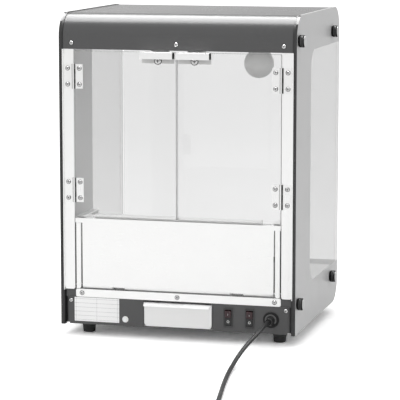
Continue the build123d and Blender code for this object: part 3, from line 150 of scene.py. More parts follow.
class Group(Nodes):
    """A node group with named inputs and outputs."""

    def __init__(self, name: str, tree_type: str, inputs: dict, outputs: dict[str, str]) -> None:
        """Starts a group.

        Args:
            name: what the group is called.
            tree_type: its type of tree.
            inputs: each input's default number or its kind of socket, such as Vector.
            outputs: each output's kind of socket.
        """
        super().__init__(bpy.data.node_groups.new(name, tree_type))
        self.identifiers: dict[str, str] = {}
        for key, value in inputs.items():
            kind = value if isinstance(value, str) else "Float"
            socket = self.tree.interface.new_socket(key, in_out="INPUT", socket_type=f"NodeSocket{kind}")
            if kind != value:
                socket.default_value = value
            self.identifiers[key] = socket.identifier
        for key, kind in outputs.items():
            self.tree.interface.new_socket(key, in_out="OUTPUT", socket_type=f"NodeSocket{kind}")
        self.inp = self.tree.nodes.new("NodeGroupInput")
        self.out = self.tree.nodes.new("NodeGroupOutput")

    def given(self) -> list[Socket]:
        """The inputs as sockets inside the group, in order."""
        return [self.inp.outputs[key] for key in self.identifiers]


class ShaderGroup(Group):
    """A shared shader node group, built once and then placed in any material."""

    made: dict[str, bpy.types.NodeTree] = {}

    def __init__(self, name: str, inputs: dict, outputs: dict[str, str]) -> None:
        """Starts a group and keeps it under its name; arguments as for Group."""
        super().__init__(name, "ShaderNodeTree", inputs, outputs)
        ShaderGroup.made[name] = self.tree


def build_mottle() -> None:
    """Builds the group that lets a colour drift gently over a surface."""
    group = ShaderGroup("Mottle", {"Colour": "Color", "Vector": "Vector", "Scale": 30.0, "Amount": 0.05},
                        {"Colour": "Color"})
    colour, vector, scale, amount = group.given()
    noise = group.noise(vector, Scale=scale, Detail=4.0)
    strength = group.math("MULTIPLY_ADD", group.math("SUBTRACT", noise, 0.5), amount, 1.0)
    tint = group.node("ShaderNodeVectorMath", {0: colour, "Scale": strength}, operation="SCALE")
    group.feed(group.out, {"Colour": tint.outputs[0]})


def build_grain() -> None:
    """Builds the group for brushed or moulded grain: stretched noise as a height and a roughness."""
    group = ShaderGroup("Grain", {"Vector": "Vector", "Stretch": "Vector", "Fine": 400.0, "Roughness": 0.3,
                                  "Spread": 0.1}, {"Height": "Float", "Roughness": "Float"})
    vector, stretch, fine, roughness, spread = group.given()
    mapping = group.node("ShaderNodeMapping", {"Vector": vector, "Scale": stretch}).outputs["Vector"]
    noise = group.noise(mapping, Scale=fine, Detail=3.0, Roughness=0.65)
    rough = group.math("MULTIPLY_ADD", group.math("SUBTRACT", noise, 0.5), spread, roughness, clamp=True)
    group.feed(group.out, {"Height": noise, "Roughness": rough})


def build_smudges() -> None:
    """Builds the group for handling marks: soft patches where a surface is slightly duller."""
    group = ShaderGroup("Smudges", {"Vector": "Vector", "Roughness": 0.3, "Amount": 0.1},
                        {"Roughness": "Float"})
    vector, roughness, amount = group.given()
    noise = group.noise(vector, Scale=14.0, Detail=2.0, Distortion=0.6)
    patch = group.ranged(noise, {"From Min": 0.5, "From Max": 0.72})
    group.feed(group.out, {"Roughness": group.math("MULTIPLY_ADD", patch, amount, roughness, clamp=True)})


def build_band() -> None:
    """Builds the group that marks a band of a coordinate, with soft borders."""
    group = ShaderGroup("Band", {"Value": 0.0, "Low": 0.0, "High": 1.0, "Fade": 0.001}, {"Mask": "Float"})
    value, low, high, fade = group.given()
    ends = ((group.math("SUBTRACT", low, fade), low), (group.math("ADD", high, fade), high))
    masks = [group.ranged(value, {"From Min": empty, "From Max": full}, interpolation_type="SMOOTHSTEP")
             for empty, full in ends]
    group.feed(group.out, {"Mask": group.times(*masks)})


class MaterialNodes(Nodes):
    """The nodes of a new material, with its shader and its Object coordinates."""

    def __init__(self, name: str) -> None:
        """Starts the material under a name."""
        self.material = bpy.data.materials.new(name)
        self.material.use_nodes = True
        super().__init__(self.material.node_tree)
        self.shader = self.tree.nodes["Principled BSDF"]
        self.place = self.node("ShaderNodeTexCoord").outputs["Object"]

    def group(self, name: str, **inputs: object) -> bpy.types.NodeOutputs:
        """Places a shared group and gives its outputs."""
        return self.node("ShaderNodeGroup", inputs, node_tree=ShaderGroup.made[name]).outputs


@dataclass(frozen=True)
class Surface:
    """What a piece is dressed in: one material, built once."""

    name: str

    def material(self) -> bpy.types.Material:
        """Builds the material, or hands back the one already built."""
        known = bpy.data.materials.get(self.name)
        if known is None:
            nodes = MaterialNodes(self.name)
            self.fill(nodes)
            known = nodes.material
        return known

    def fill(self, nodes: MaterialNodes) -> None:
        """Writes the material's nodes."""
        raise NotImplementedError


@dataclass(frozen=True)
class Finish(Surface):
    """An opaque finish: colour with a gentle drift, grain and handling marks; bump is in millimetres."""

    colour: Triple
    metallic: float = 0.0
    roughness: float = 0.4
    spread: float = 0.08
    drift: float = 0.06
    drift_scale: float = 25.0
    stretch: Triple = (1.0, 1.0, 1.0)
    fine: float = 900.0
    bump: float = 0.02
    smudge: float = 0.04
    specular: float = 0.5
    coat: float = 0.0
    coat_roughness: float = 0.1
    anisotropic: float = 0.0
    subsurface: float = 0.0
    subsurface_scale: float = 2 * MM
    bump_strength: float = 0.5

    def fill(self, nodes: MaterialNodes) -> None:
        """Writes the material: drift in its colour, grain and marks in its roughness, grain in its relief."""
        mottle = nodes.group("Mottle", Vector=nodes.place, Colour=(*self.colour, 1.0), Scale=self.drift_scale,
                             Amount=self.drift)
        grain = nodes.group("Grain", Vector=nodes.place, Stretch=self.stretch, Fine=self.fine,
                            Roughness=self.roughness, Spread=self.spread)
        smudges = nodes.group("Smudges", Vector=nodes.place, Roughness=grain["Roughness"], Amount=self.smudge)
        bump = nodes.node("ShaderNodeBump", {"Strength": self.bump_strength, "Distance": self.bump * MM,
                                             "Height": grain["Height"]})
        nodes.feed(nodes.shader, {
            "Base Color": self.painted(nodes, mottle["Colour"]), "Roughness": smudges["Roughness"],
            "Normal": bump.outputs["Normal"], "Metallic": self.metallic, "Specular IOR Level": self.specular,
            "Coat Weight": self.coat, "Coat Roughness": self.coat_roughness, "Anisotropic": self.anisotropic,
            "Subsurface Weight": self.subsurface, "Subsurface Scale": self.subsurface_scale})

    def painted(self, nodes: MaterialNodes, colour: Socket) -> Socket:
        """The colour to show; a finish with a pattern draws it here, over the plain colour it is given."""
        return colour


@dataclass(frozen=True)
class BandFinish(Finish):
    """A finish with another colour in bands, each given by its axis, its low end and its high end."""

    mirrored: bool = False
    bands: tuple[tuple[int, float, float], ...] = ()
    fade: float = 0.3 * MM
    ink: Triple = (0.1, 0.1, 0.1)

    def painted(self, nodes: MaterialNodes, colour: Socket) -> Socket:
        """Lays the bands over the plain colour.

        Args:
            nodes: the material's nodes.
            colour: the plain colour.

        Returns:
            The banded colour.
        """
        parts = nodes.parts(nodes.place)
        for axis, low, high in self.bands:
            value = nodes.math("ABSOLUTE", parts[axis]) if self.mirrored else parts[axis]
            band = nodes.group("Band", Value=value, Low=low, High=high, Fade=self.fade)
            colour = nodes.mixed(band["Mask"], colour, self.ink)
        return colour


@dataclass(frozen=True)
class LabelFinish(Finish):
    """A bare rating plate: white, with the thin ruled boxes of an empty form."""

    left: float = 0.0
    bottom: float = 0.0
    width: float = 0.1
    height: float = 0.05
    columns: int = 2
    rows: int = 5
    line: float = 0.35 * MM
    ink: Triple = (0.30, 0.30, 0.30)

    def painted(self, nodes: MaterialNodes, colour: Socket) -> Socket:
        """Rules the empty boxes over the white.

        Args:
            nodes: the material's nodes.
            colour: the plate's white.

        Returns:
            The ruled colour.
        """
        parts = nodes.parts(nodes.place)
        masks = []
        for axis, start, size, count in ((0, self.left, self.width, self.columns),
                                         (2, self.bottom, self.height, self.rows)):
            shifted = nodes.math("SUBTRACT", parts[axis], start - self.line / 2)
            masks.append(nodes.math("LESS_THAN", nodes.math("WRAP", shifted, size / count, 0.0), self.line))
        return nodes.mixed(nodes.math("MAXIMUM", *masks), colour, self.ink)


@dataclass(frozen=True)
class GlassFinish(Surface):
    """Clear or coated glass that lets light through to what stands behind it."""

    tint: Triple = (0.93, 0.93, 0.93)
    grazing: Triple = (0.45, 0.45, 0.45)
    roughness: float = 0.0
    transmission: float = 1.0
    shade: Triple = (0.95, 0.95, 0.95)
    refraction: float = 1.45
    drift: float = 0.02
    drift_scale: float = 6.0
    smudge: float = 0.03

    def fill(self, nodes: MaterialNodes) -> None:
        """Writes the material: darker at grazing angles, plainly see-through for shadows and soft light."""
        mottle = nodes.group("Mottle", Vector=nodes.place, Colour=(*self.tint, 1.0), Scale=self.drift_scale,
                             Amount=self.drift)
        smudges = nodes.group("Smudges", Vector=nodes.place, Roughness=self.roughness, Amount=self.smudge)
        facing = nodes.node("ShaderNodeLayerWeight").outputs["Facing"]
        nodes.feed(nodes.shader, {
            "Base Color": nodes.mixed(facing, mottle["Colour"], self.grazing), "IOR": self.refraction,
            "Roughness": smudges["Roughness"], "Transmission Weight": self.transmission})
        clear = nodes.node("ShaderNodeBsdfTransparent", {"Color": (*self.shade, 1.0)}).outputs[0]
        path = nodes.node("ShaderNodeLightPath").outputs
        soft = nodes.math("MAXIMUM", path["Is Shadow Ray"], path["Is Diffuse Ray"])
        mix = nodes.node("ShaderNodeMixShader", {0: soft, 1: nodes.shader.outputs[0], 2: clear})
        nodes.feed(nodes.tree.nodes["Material Output"], {"Surface": mix.outputs[0]})


ALONG_X = (0.02, 1.0, 1.0)
UPRIGHT = (1.0, 1.0, 0.02)
BRUSHED = {"spread": 0.16, "fine": 1600.0, "bump": 0.012}

DARK_SHEET = Finish("dark_coated_sheet", (0.082, 0.082, 0.083), roughness=0.26, spread=0.06,
                    fine=1400.0, bump=0.002, drift=0.05, specular=0.32, smudge=0.012)
COVER_SHEET = Finish("dark_satin_sheet", (0.090, 0.090, 0.091), roughness=0.48, spread=0.06,
                     fine=1400.0, bump=0.008, drift=0.05, specular=0.25)
# Black for the strips that paint the shade in the slits, and for the dark edge strips beside the posts.
STRIP_BLACK = Finish("black_seal", (0.016, 0.016, 0.0165), roughness=0.55, specular=0.15)
# Side-frame steel, near black below 88 mm and from 545 mm up: painted shade where the frames run beside the
# base and the hood.
FRAME_STEEL_END_SHADE = BandFinish("side_frame_steel", (0.93, 0.93, 0.925), metallic=0.4, roughness=0.4, drift=0.03,
                         bands=((2, 0.0, 88 * MM), (2, 545 * MM, 620 * MM)), fade=0.5 * MM,
                         ink=(0.032, 0.032, 0.0325))
DARK_EDGE = Finish("dark_glossy_edge", (0.030, 0.030, 0.031), roughness=0.14, spread=0.03, bump=0.004)
WIRE_COVER = Finish("wire_cover_steel", (0.62, 0.62, 0.62), metallic=0.3, roughness=0.45, drift=0.04,
                    bump=0.01)
GLAZING_STRIP = Finish("pale_glazing_strip", (0.74, 0.74, 0.735))
PRINT = Finish("grey_glass_print", (0.46, 0.46, 0.461), roughness=0.30, drift=0.03, bump=0.004, spread=0.04,
               specular=0.2)
STAINLESS = Finish("brushed_stainless", (0.93, 0.93, 0.925), metallic=0.85, roughness=0.30, stretch=ALONG_X,
                   drift=0.03, anisotropic=0.3, **BRUSHED)
STAINLESS_UPRIGHT = Finish("brushed_stainless_upright", (0.93, 0.93, 0.925), metallic=0.85, roughness=0.30,
                           stretch=UPRIGHT, drift=0.03, **BRUSHED)
BRIGHT = Finish("bright_turned_steel", (0.86, 0.86, 0.86), metallic=1.0, roughness=0.22, bump=0.006)
# Sill stainless, paler and less metallic than the other stainless: painted light against the shaded floor
# that it would mirror.
SILL_STEEL_LIT = Finish("sill_stainless", (0.97, 0.97, 0.965), metallic=0.5, roughness=0.34, stretch=ALONG_X,
                    drift=0.03, **BRUSHED)
# Hinge steel with dark bands either side of each knuckle: painted shade in the gaps between knuckle and
# leaves.
HINGE_STEEL_GAP_SHADE = BandFinish("hinge_steel", (0.90, 0.90, 0.895), metallic=0.9, roughness=0.28, spread=0.10,
                         stretch=(1.0, 1.0, 0.05), bump=0.008, mirrored=True, fade=0.4 * MM,
                         bands=((0, 195.9 * MM, 197.3 * MM), (0, 200.4 * MM, 202.5 * MM)),
                         ink=(0.07, 0.07, 0.07))
SCREW_STEEL = Finish("screw_steel", (0.62, 0.62, 0.62), metallic=1.0, roughness=0.2, spread=0.10, drift=0.12,
                     drift_scale=300.0, bump=0.006)
# Drawer stainless with a white band from 65.9 mm up: a painted highlight on the drawer's lip.
DRAWER_STEEL_LIP_HIGHLIGHT = BandFinish("drawer_stainless", (0.81, 0.81, 0.805), metallic=0.75, roughness=0.36, spread=0.18,
                          stretch=ALONG_X, fine=1500.0, bump=0.014, drift=0.05,
                          bands=((2, 65.9 * MM, 80 * MM),), fade=0.5 * MM, ink=(1.0, 1.0, 1.0))
# The deck is stainless, but its colour is darkened far below the other stainless as painted shade under the
# hood.
DECK_STEEL_SHADED = Finish("deck_stainless", (0.32, 0.32, 0.318), metallic=0.35, roughness=0.58, stretch=ALONG_X,
                    drift=0.05, specular=0.2, **BRUSHED)
ZINC = Finish("zinc_plated_sheet", (0.62, 0.62, 0.622), metallic=0.9, roughness=0.38, drift=0.18,
              drift_scale=90.0, bump=0.008)
HOT_STEEL = Finish("heat_darkened_steel", (0.24, 0.225, 0.215), metallic=0.8, roughness=0.5, drift=0.3,
                   drift_scale=60.0, bump=0.03)
BLACK = Finish("black_moulding", (0.012, 0.012, 0.0125), roughness=0.45, fine=1100.0, specular=0.2)
KNOB_BLACK = Finish("black_knob_moulding", (0.007, 0.007, 0.0075), roughness=0.42, fine=1100.0,
                    specular=0.12)
KNOB_CAP = Finish("grey_knob_cap", (0.50, 0.50, 0.50), metallic=0.3, roughness=0.35, bump=0.01)
# Grey for the rings round the knobs, and for the painted highlights on the cable gland.
KNOB_RING_GLAND_HIGHLIGHT = Finish("grey_knob_ring", (0.10, 0.10, 0.10), bump=0.01)
LENS_RED = Finish("dark_red_lens", (0.032, 0.011, 0.014), roughness=0.2, coat=0.15, bump=0.004, spread=0.03)
HOUSING = Finish("switch_housing", (0.058, 0.058, 0.0585), roughness=0.45, specular=0.3, bump=0.01)
ROCKER_BLACK = Finish("black_rocker", (0.012, 0.012, 0.0125), roughness=0.22, bump=0.006)
# Grey for the pull's plate below the lip: painted shade under the lip.
PULL_PLATE_SHADE = Finish("shaded_pull_plate", (0.60, 0.60, 0.595), metallic=0.3, roughness=0.42, bump=0.01)
# Near black for the screws' cross slots, the discs under their heads and the inside of the pulls' lips:
# painted shade.
RECESS_SHADE = Finish("dark_recess", (0.03, 0.03, 0.03), roughness=0.5)
MARK_WHITE = Finish("white_mark", (0.50, 0.50, 0.49), roughness=0.5, bump=0.002)
WHITE = Finish("white_moulding", (0.84, 0.84, 0.83), roughness=0.35, subsurface=0.05, bump=0.006)
PORCELAIN = Finish("porcelain", (0.86, 0.85, 0.82), roughness=0.2, coat=0.3, bump=0.006)
RUBBER = Finish("black_rubber", (0.020, 0.020, 0.020), roughness=0.62, fine=1500.0, bump=0.03, smudge=0.1)
CORD_RUBBER = Finish("cord_sheath", (0.012, 0.012, 0.0125), roughness=0.45, fine=1800.0, bump=0.012,
                     specular=0.25)
PALE_EDGE = Finish("pale_glass_edge", (0.66, 0.66, 0.66), roughness=0.3, bump=0.01, drift=0.05)
PANE_EDGE = Finish("ground_glass_edge", (0.50, 0.505, 0.50), roughness=0.35, drift=0.1)
MAGNET_GREY = Finish("magnet_housing", (0.62, 0.62, 0.615), roughness=0.45)
SOCKET_METAL = Finish("bulb_cap_metal", (0.72, 0.71, 0.68), metallic=1.0, roughness=0.28, bump=0.006)
BULB = GlassFinish("coated_bulb_glass", (0.93, 0.93, 0.92), (0.70, 0.70, 0.69), roughness=0.3,
                   transmission=0.40, shade=(0.6, 0.6, 0.6))
PANE = GlassFinish("door_glass", shade=(0.97, 0.97, 0.97))
SIDE_PANE = GlassFinish("clear_side_glass")

NODE_FINISHES: dict[Surface, str] = {
    FRAME_STEEL_END_SHADE: "side_frames",
    DARK_SHEET: "hood_cover customer_apron front_rail",
    ZINC: "ceiling_panel rear_rail base_pan drawer_runners inner_brackets",
    STAINLESS_UPRIGHT: "door_posts",
    PANE: "customer_window",
    GLAZING_STRIP: "glazing_bars",
    SILL_STEEL_LIT: "sill_rail",
    COVER_SHEET: "base_cover",
    STAINLESS: "cheek_plates stop_bar door_pull_left door_pull_right chip_flap",
    BRIGHT: "cross_rods flap_brackets",
    DECK_STEEL_SHADED: "warming_deck",
    MAGNET_GREY: "catch_magnets",
    HINGE_STEEL_GAP_SHADE: "post_hinges door_hinge_leaves_left door_hinge_leaves_right",
    SCREW_STEEL: "door_fixings_left door_fixings_right pane_caps lock_nuts cabinet_screws",
    DRAWER_STEEL_LIP_HIGHLIGHT: "drawer_front drawer_tray",
    HOUSING: "switch_housings",
    ROCKER_BLACK: "rocker_light rocker_heat",
    BLACK: "cable_gland thermostat cord_tie mains_plug",
    WHITE: "hole_plug terminal_block",
    RUBBER: "rubber_feet",
    BULB: "lamp_bulb",
    PORCELAIN: "lamp_holder",
    WIRE_COVER: "wire_cover",
    HOT_STEEL: "heating_element",
    CORD_RUBBER: "cord_lead cord_coil",
}


def new_object(name: str, data: bpy.types.ID) -> Piece:
    """A new object in the scene."""
    made = bpy.data.objects.new(name, data)
    bpy.context.collection.objects.link(made)
    return made


def finish_piece(piece: Piece, body: str, slot: str, *nodes: str) -> Piece:
    """Hands a finished piece to the frame.

    Args:
        piece: the object, at the origin with its place in its mesh.
        body: the body that it rides on.
        slot: the record's material slot; not used.
        nodes: the CAD nodes that it stands for.

    Returns:
        The same object.
    """
    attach(piece, body)
    if nodes:
        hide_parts(*nodes)
    LOG.info("%s: %d faces on %s", piece.name, len(getattr(piece.data, "polygons", ())), body)
    return piece


def shade(mesh: bpy.types.Mesh) -> None:
    """Smooths a mesh, except across its sharp edges."""
    bm = bmesh.new()
    bm.from_mesh(mesh)
    for face in bm.faces:
        face.smooth = True
    for edge in bm.edges:
        edge.smooth = len(edge.link_faces) == 2 and edge.calc_face_angle(0.0) < SMOOTH_ANGLE
    bm.to_mesh(mesh)
    bm.free()


def piece_from(bm: Solid, name: str, *finishes: Surface) -> Piece:
    """Turns a bmesh into a shaded object.

    Args:
        bm: the geometry, which is freed.
        name: the object's name.
        finishes: its finishes, in the order of the faces' material indices.

    Returns:
        The new object, linked to the scene.
    """
    mesh = bpy.data.meshes.new(name)
    bm.normal_update()
    bm.to_mesh(mesh)
    bm.free()
    for finish in finishes:
        mesh.materials.append(finish.material())
    shade(mesh)
    return new_object(name, mesh)


def bevelled(bm: Solid, width: float, segments: int, angle: float = SMOOTH_ANGLE) -> None:
    """Rounds every edge of a bmesh that is sharper than an angle."""
    bm.normal_update()
    edges = [e for e in bm.edges if len(e.link_faces) == 2 and e.calc_face_angle(0.0) > angle]
    bmesh.ops.bevel(bm, geom=edges, offset=width, segments=segments, affect="EDGES", profile=0.5,
                    clamp_overlap=True)


def mm(*points: Pair) -> list[Pair]:
    """Pairs given in millimetres, such as the radii and heights of a profile."""
    return [(a * MM, b * MM) for a, b in points]


def lathe(profile: list[Pair], place: Matrix, segments: int = 48, bm: Solid | None = None,
          material: int = 0) -> Solid:
    """Turns a profile about its axis into a closed form.

    Args:
        profile: radius and height of each point, first and last on the axis.
        place: where the axis goes, its Z along the profile's heights.
        segments: how many steps round.
        bm: geometry to add to, or None to start anew.
        material: the material index of the new faces.

    Returns:
        The geometry.
    """
    bm = bmesh.new() if bm is None else bm
    rings = []
    for radius, height in profile:
        steps = segments if radius else 1
        rings.append([bm.verts.new(place @ Vector((radius * math.cos(a), radius * math.sin(a), height)))
                      for a in (2 * math.pi * i / steps for i in range(steps))])
    made = []
    for low, high in zip(rings, rings[1:]):
        for i in range(segments):
            j = (i + 1) % segments
            corners = [low[i % len(low)], low[j % len(low)], high[j % len(high)], high[i % len(high)]]
            corners = list(dict.fromkeys(corners))
            if len(corners) > 2:
                made.append(bm.faces.new(corners))
    return coloured(bm, made, material)


def prism(outline: list[Vector], along: Vector, bm: Solid | None = None, material: int = 0) -> Solid:
    """Extrudes a flat closed outline.

    Args:
        outline: the corners in order.
        along: the way and distance to extrude.
        bm: geometry to add to, or None to start anew.
        material: the material index of the new faces.

    Returns:
        The geometry.
    """
    bm = bmesh.new() if bm is None else bm
    near = [bm.verts.new(p) for p in outline]
    far = [bm.verts.new(p + along) for p in outline]
    faces = [bm.faces.new(near), bm.faces.new(list(reversed(far)))]
    for i in range(len(near)):
        j = (i + 1) % len(near)
        faces.append(bm.faces.new((near[j], near[i], far[i], far[j])))
    return coloured(bm, faces, material)


def coloured(bm: Solid, faces: list[bmesh.types.BMFace], material: int) -> Solid:
    """Gives new faces their material index and turns them outwards."""
    for face in faces:
        face.material_index = material
    bmesh.ops.recalc_face_normals(bm, faces=faces)
    return bm


def arc(centre: Pair, radius: float, start: float, end: float, steps: int = 12) -> list[Pair]:
    """Points along an arc of a circle, angles in degrees."""
    return [(centre[0] + radius * math.cos(math.radians(a)), centre[1] + radius * math.sin(math.radians(a)))
            for a in (start + (end - start) * i / steps for i in range(steps + 1))]


def rounded(low: Pair, high: Pair, radius: float) -> list[Pair]:
    """The outline of a rectangle with rounded corners."""
    (x0, z0), (x1, z1), r = low, high, radius
    return [*arc((x1 - r, z1 - r), r, 90, 0, 4), *arc((x1 - r, z0 + r), r, 0, -90, 4),
            *arc((x0 + r, z0 + r), r, -90, -180, 4), *arc((x0 + r, z1 - r), r, 180, 90, 4)]


def outwards(x: float, y: float, z: float) -> Matrix:
    """A place whose Z looks at the operator."""
    return Matrix.Translation(Vector((x, y, z))) @ Matrix.Rotation(QUARTER, 4, "X")


def guide(points: list[Vector] | None = None, edges: list[tuple[int, int]] | None = None) -> bpy.types.Mesh:
    """A mesh of loose points and edges for a node tree to read."""
    mesh = bpy.data.meshes.new("guide")
    mesh.from_pydata([tuple(p) for p in points or []], edges or [], [])
    return mesh


class NodeTree(Group):
    """A geometry node tree with named inputs."""

    def __init__(self, name: str, numbers: tuple[str, ...], others: dict[str, str]) -> None:
        """Starts a tree with a geometry input and output.

        Args:
            name: what the tree is called.
            numbers: the names of its inputs that are numbers.
            others: the kind of socket of each other input.
        """
        kinds = {"Geometry": "Geometry", **dict.fromkeys(numbers, "Float"), **others}
        super().__init__(name, "GeometryNodeTree", kinds, {"Geometry": "Geometry"})

    def geo(self, kind: str, inputs: dict, **values: object) -> Socket:
        """A geometry node's first output, its type given without the prefix."""
        return self.node(f"GeometryNode{kind}", inputs, **values).outputs[0]

    def xyz(self, x: object = 0.0, y: object = 0.0, z: object = 0.0) -> Socket:
        """A vector put together from sockets or numbers."""
        return self.node("ShaderNodeCombineXYZ", {0: x, 1: y, 2: z}).outputs[0]

    def half(self, value: object, sign: int = 1) -> Socket:
        """Half of a size, or its negative for a sign of -1."""
        return self.math("DIVIDE", value, 2.0 * sign)

    def moved(self, geometry: Socket, **inputs: object) -> Socket:
        """A Transform Geometry node; inputs are Translation, Rotation and Scale."""
        return self.geo("Transform", {"Geometry": geometry, **inputs})

    def joined(self, *parts: Socket) -> Socket:
        """A Join Geometry node."""
        node = self.node("GeometryNodeJoinGeometry")
        for part in parts:
            self.feed(node, {0: part})
        return node.outputs[0]

    def dressed(self, geometry: Socket, material: Socket) -> Socket:
        """A Set Material node."""
        return self.geo("SetMaterial", {"Geometry": geometry, "Material": material})

    def drum(self, vertices: int, radius: object, depth: object, level: object, steps: int = 1) -> Socket:
        """An upright cylinder with its middle at a level."""
        drum = self.geo("MeshCylinder", {"Vertices": vertices, "Side Segments": steps, "Radius": radius,
                                         "Depth": depth})
        return self.moved(drum, Translation=self.xyz(z=level))

    def position(self) -> bpy.types.NodeOutputs:
        """Where each point is, as X, Y and Z."""
        return self.parts(self.geo("InputPosition", {}))

    def swelled(self, geometry: Socket, factor: Socket) -> Socket:
        """A form scaled about its Z axis by a factor that changes with the level."""
        x, y, z = self.position()
        place = self.xyz(self.times(x, factor), self.times(y, factor), z)
        return self.geo("SetPosition", {"Geometry": geometry, "Position": place})

    def repeated(self, points: Socket, instance: Socket, **inputs: object) -> Socket:
        """An Instance on Points node."""
        return self.geo("InstanceOnPoints", {"Points": points, "Instance": instance, **inputs})

    def real(self, geometry: Socket) -> Socket:
        """A Realize Instances node."""
        return self.geo("RealizeInstances", {"Geometry": geometry})

    def close(self, geometry: Socket, material: Socket | None = None) -> None:
        """Ends the tree in Realize Instances and, for one material, Set Material."""
        real = self.real(geometry)
        self.feed(self.out, {0: real if material is None else self.dressed(real, material)})

    def made(self, name: str, mesh: bpy.types.Mesh, sizes: dict[str, object]) -> Piece:
        """Runs the tree on a mesh and keeps the result as a plain mesh.

        Args:
            name: the new object's name.
            mesh: the geometry that goes in.
            sizes: a value, or a finish, for each named input.

        Returns:
            The new object.
        """
        piece = new_object(name, mesh)
        modifier = piece.modifiers.new(self.tree.name, "NODES")
        modifier.node_group = self.tree
        for key, value in sizes.items():
            modifier[self.identifiers[key]] = value.material() if isinstance(value, Surface) else value
        bpy.context.view_layer.update()
        graph = bpy.context.evaluated_depsgraph_get()
        result = bpy.data.meshes.new_from_object(piece.evaluated_get(graph))
        result.name = name
        piece.modifiers.remove(modifier)
        piece.data = result
        shade(result)
        return piece


def screw_tree() -> NodeTree:
    """Builds the tree for cross-recessed pan heads with their shanks and nuts.

    Returns:
        The tree; it puts one screw on each point that goes in.
    """
    tree = NodeTree("Cross-recess screws", (
        "Head Radius", "Head Height", "Shank Radius", "Shank Length", "Nut Radius", "Nut Height", "Grip",
    ), {"With Nut": "Bool", "Turn": "Vector", "Material": "Material", "Recess Material": "Material"})
    (points, radius, height, shank_radius, shank_length, nut_radius, nut_height, grip, with_nut, turn,
     material, recess_shade_material) = tree.given()
    narrowing, steepness = 0.42, 3.0
    slot_length, slot_width, slot_level = 1.05, 0.2, 1.05
    shade_disc_radius, shade_disc_height = 1.12, 0.3
    turn_step = 0.7
    level = tree.math("DIVIDE", tree.position()[2], height)
    taper = tree.math("SUBTRACT", 1.0, tree.times(narrowing, tree.math("POWER", level, steepness)))
    dome = tree.swelled(tree.drum(20, radius, height, tree.half(height), 5), taper)
    cut = tree.node("GeometryNodeMeshBoolean", {0: tree.dressed(dome, material)}, operation="DIFFERENCE")
    # The cross slots take the shade material: painted shade in the recess.
    for long_x, long_y in ((slot_length, slot_width), (slot_width, slot_length)):
        size = tree.xyz(tree.times(radius, long_x), tree.times(radius, long_y), height)
        slot = tree.dressed(tree.geo("MeshCube", {"Size": size}), recess_shade_material)
        tree.feed(cut, {1: tree.moved(slot, Translation=tree.xyz(z=tree.times(height, slot_level)))})
    shank = tree.drum(12, shank_radius, shank_length, tree.half(shank_length, -1))
    nut = tree.drum(6, nut_radius, nut_height, tree.math("SUBTRACT", tree.half(nut_height, -1), grip))
    chosen = tree.geo("Switch", {"Switch": with_nut, "True": nut}, input_type="GEOMETRY")
    # A dark disc under each head, a little wider than it: a painted shade ring round the head.
    shade_disc = tree.drum(20, tree.times(radius, shade_disc_radius), tree.times(height, shade_disc_height),
                       tree.times(height, shade_disc_height / 2))
    screw = tree.joined(cut.outputs[0], tree.dressed(tree.joined(shank, chosen), material),
                        tree.dressed(shade_disc, recess_shade_material))
    spin = tree.times(tree.geo("InputIndex", {}), turn_step)
    tree.close(tree.repeated(points, tree.moved(screw, Rotation=turn), Rotation=tree.xyz(y=spin)))
    return tree


def knob_tree() -> NodeTree:
    """Builds the tree for a ribbed clamping knob with its cap and stud.

    Returns:
        The tree; it makes one knob at Place, turned by Turn.
    """
    tree = NodeTree("Ribbed knob", (
        "Radius", "Length", "Rib Radius", "Cap Radius", "Cap Height", "Stud Radius", "Stud Length",
    ), {"Rib Count": "Int", "Place": "Vector", "Turn": "Vector", "Grip Material": "Material",
        "Cap Material": "Material", "Ring Material": "Material", "Stud Material": "Material"})
    (_, radius, length, rib_radius, cap_radius, cap_height, stud_radius, stud_length, ribs, place, turn,
     grip_material, cap_material, ring_material, stud_material) = tree.given()
    rounding, steepness = 12.0, 7.0
    rib_share, ring_share, ring_shares = 0.44, 0.07, (0.48, 0.70)
    ring_rise = 1.05
    core_radius = tree.math("SUBTRACT", radius, rib_radius)
    level = tree.math("ABSOLUTE", tree.math("DIVIDE", tree.position()[2], length))
    swell = tree.math("SUBTRACT", 1.0, tree.times(rounding, tree.math("POWER", level, steepness)))
    core = tree.swelled(tree.drum(48, core_radius, length, 0.0, 12), swell)
    circle = tree.geo("MeshCircle", {"Vertices": ribs, "Radius": core_radius})
    rib = tree.geo("MeshIcoSphere", {"Radius": rib_radius, "Subdivisions": 2})
    stretch = tree.math("DIVIDE", tree.times(length, rib_share), rib_radius)
    ring = tree.real(tree.repeated(circle, tree.moved(rib, Scale=tree.xyz(1.0, 1.0, stretch))))
    grip = tree.moved(tree.joined(core, ring), Translation=tree.xyz(z=tree.half(length)))
    dome = tree.geo("MeshUVSphere", {"Segments": 40, "Rings": 20, "Radius": cap_radius})
    dome = tree.moved(dome, Scale=tree.xyz(1.0, 1.0, tree.math("DIVIDE", cap_height, cap_radius)),
                      Translation=tree.xyz(z=length))
    cap = tree.dressed(dome, cap_material)
    for share in ring_shares:
        band = tree.drum(48, tree.math("ADD", core_radius, tree.times(rib_radius, ring_rise)),
                         tree.times(length, ring_share), tree.times(length, share))
        cap = tree.joined(cap, tree.dressed(band, ring_material))
    stud = tree.dressed(tree.drum(20, stud_radius, stud_length, tree.half(stud_length, -1)), stud_material)
    knob = tree.joined(tree.dressed(grip, grip_material), cap, stud)
    tree.close(tree.moved(knob, Translation=place, Rotation=turn))
    return tree


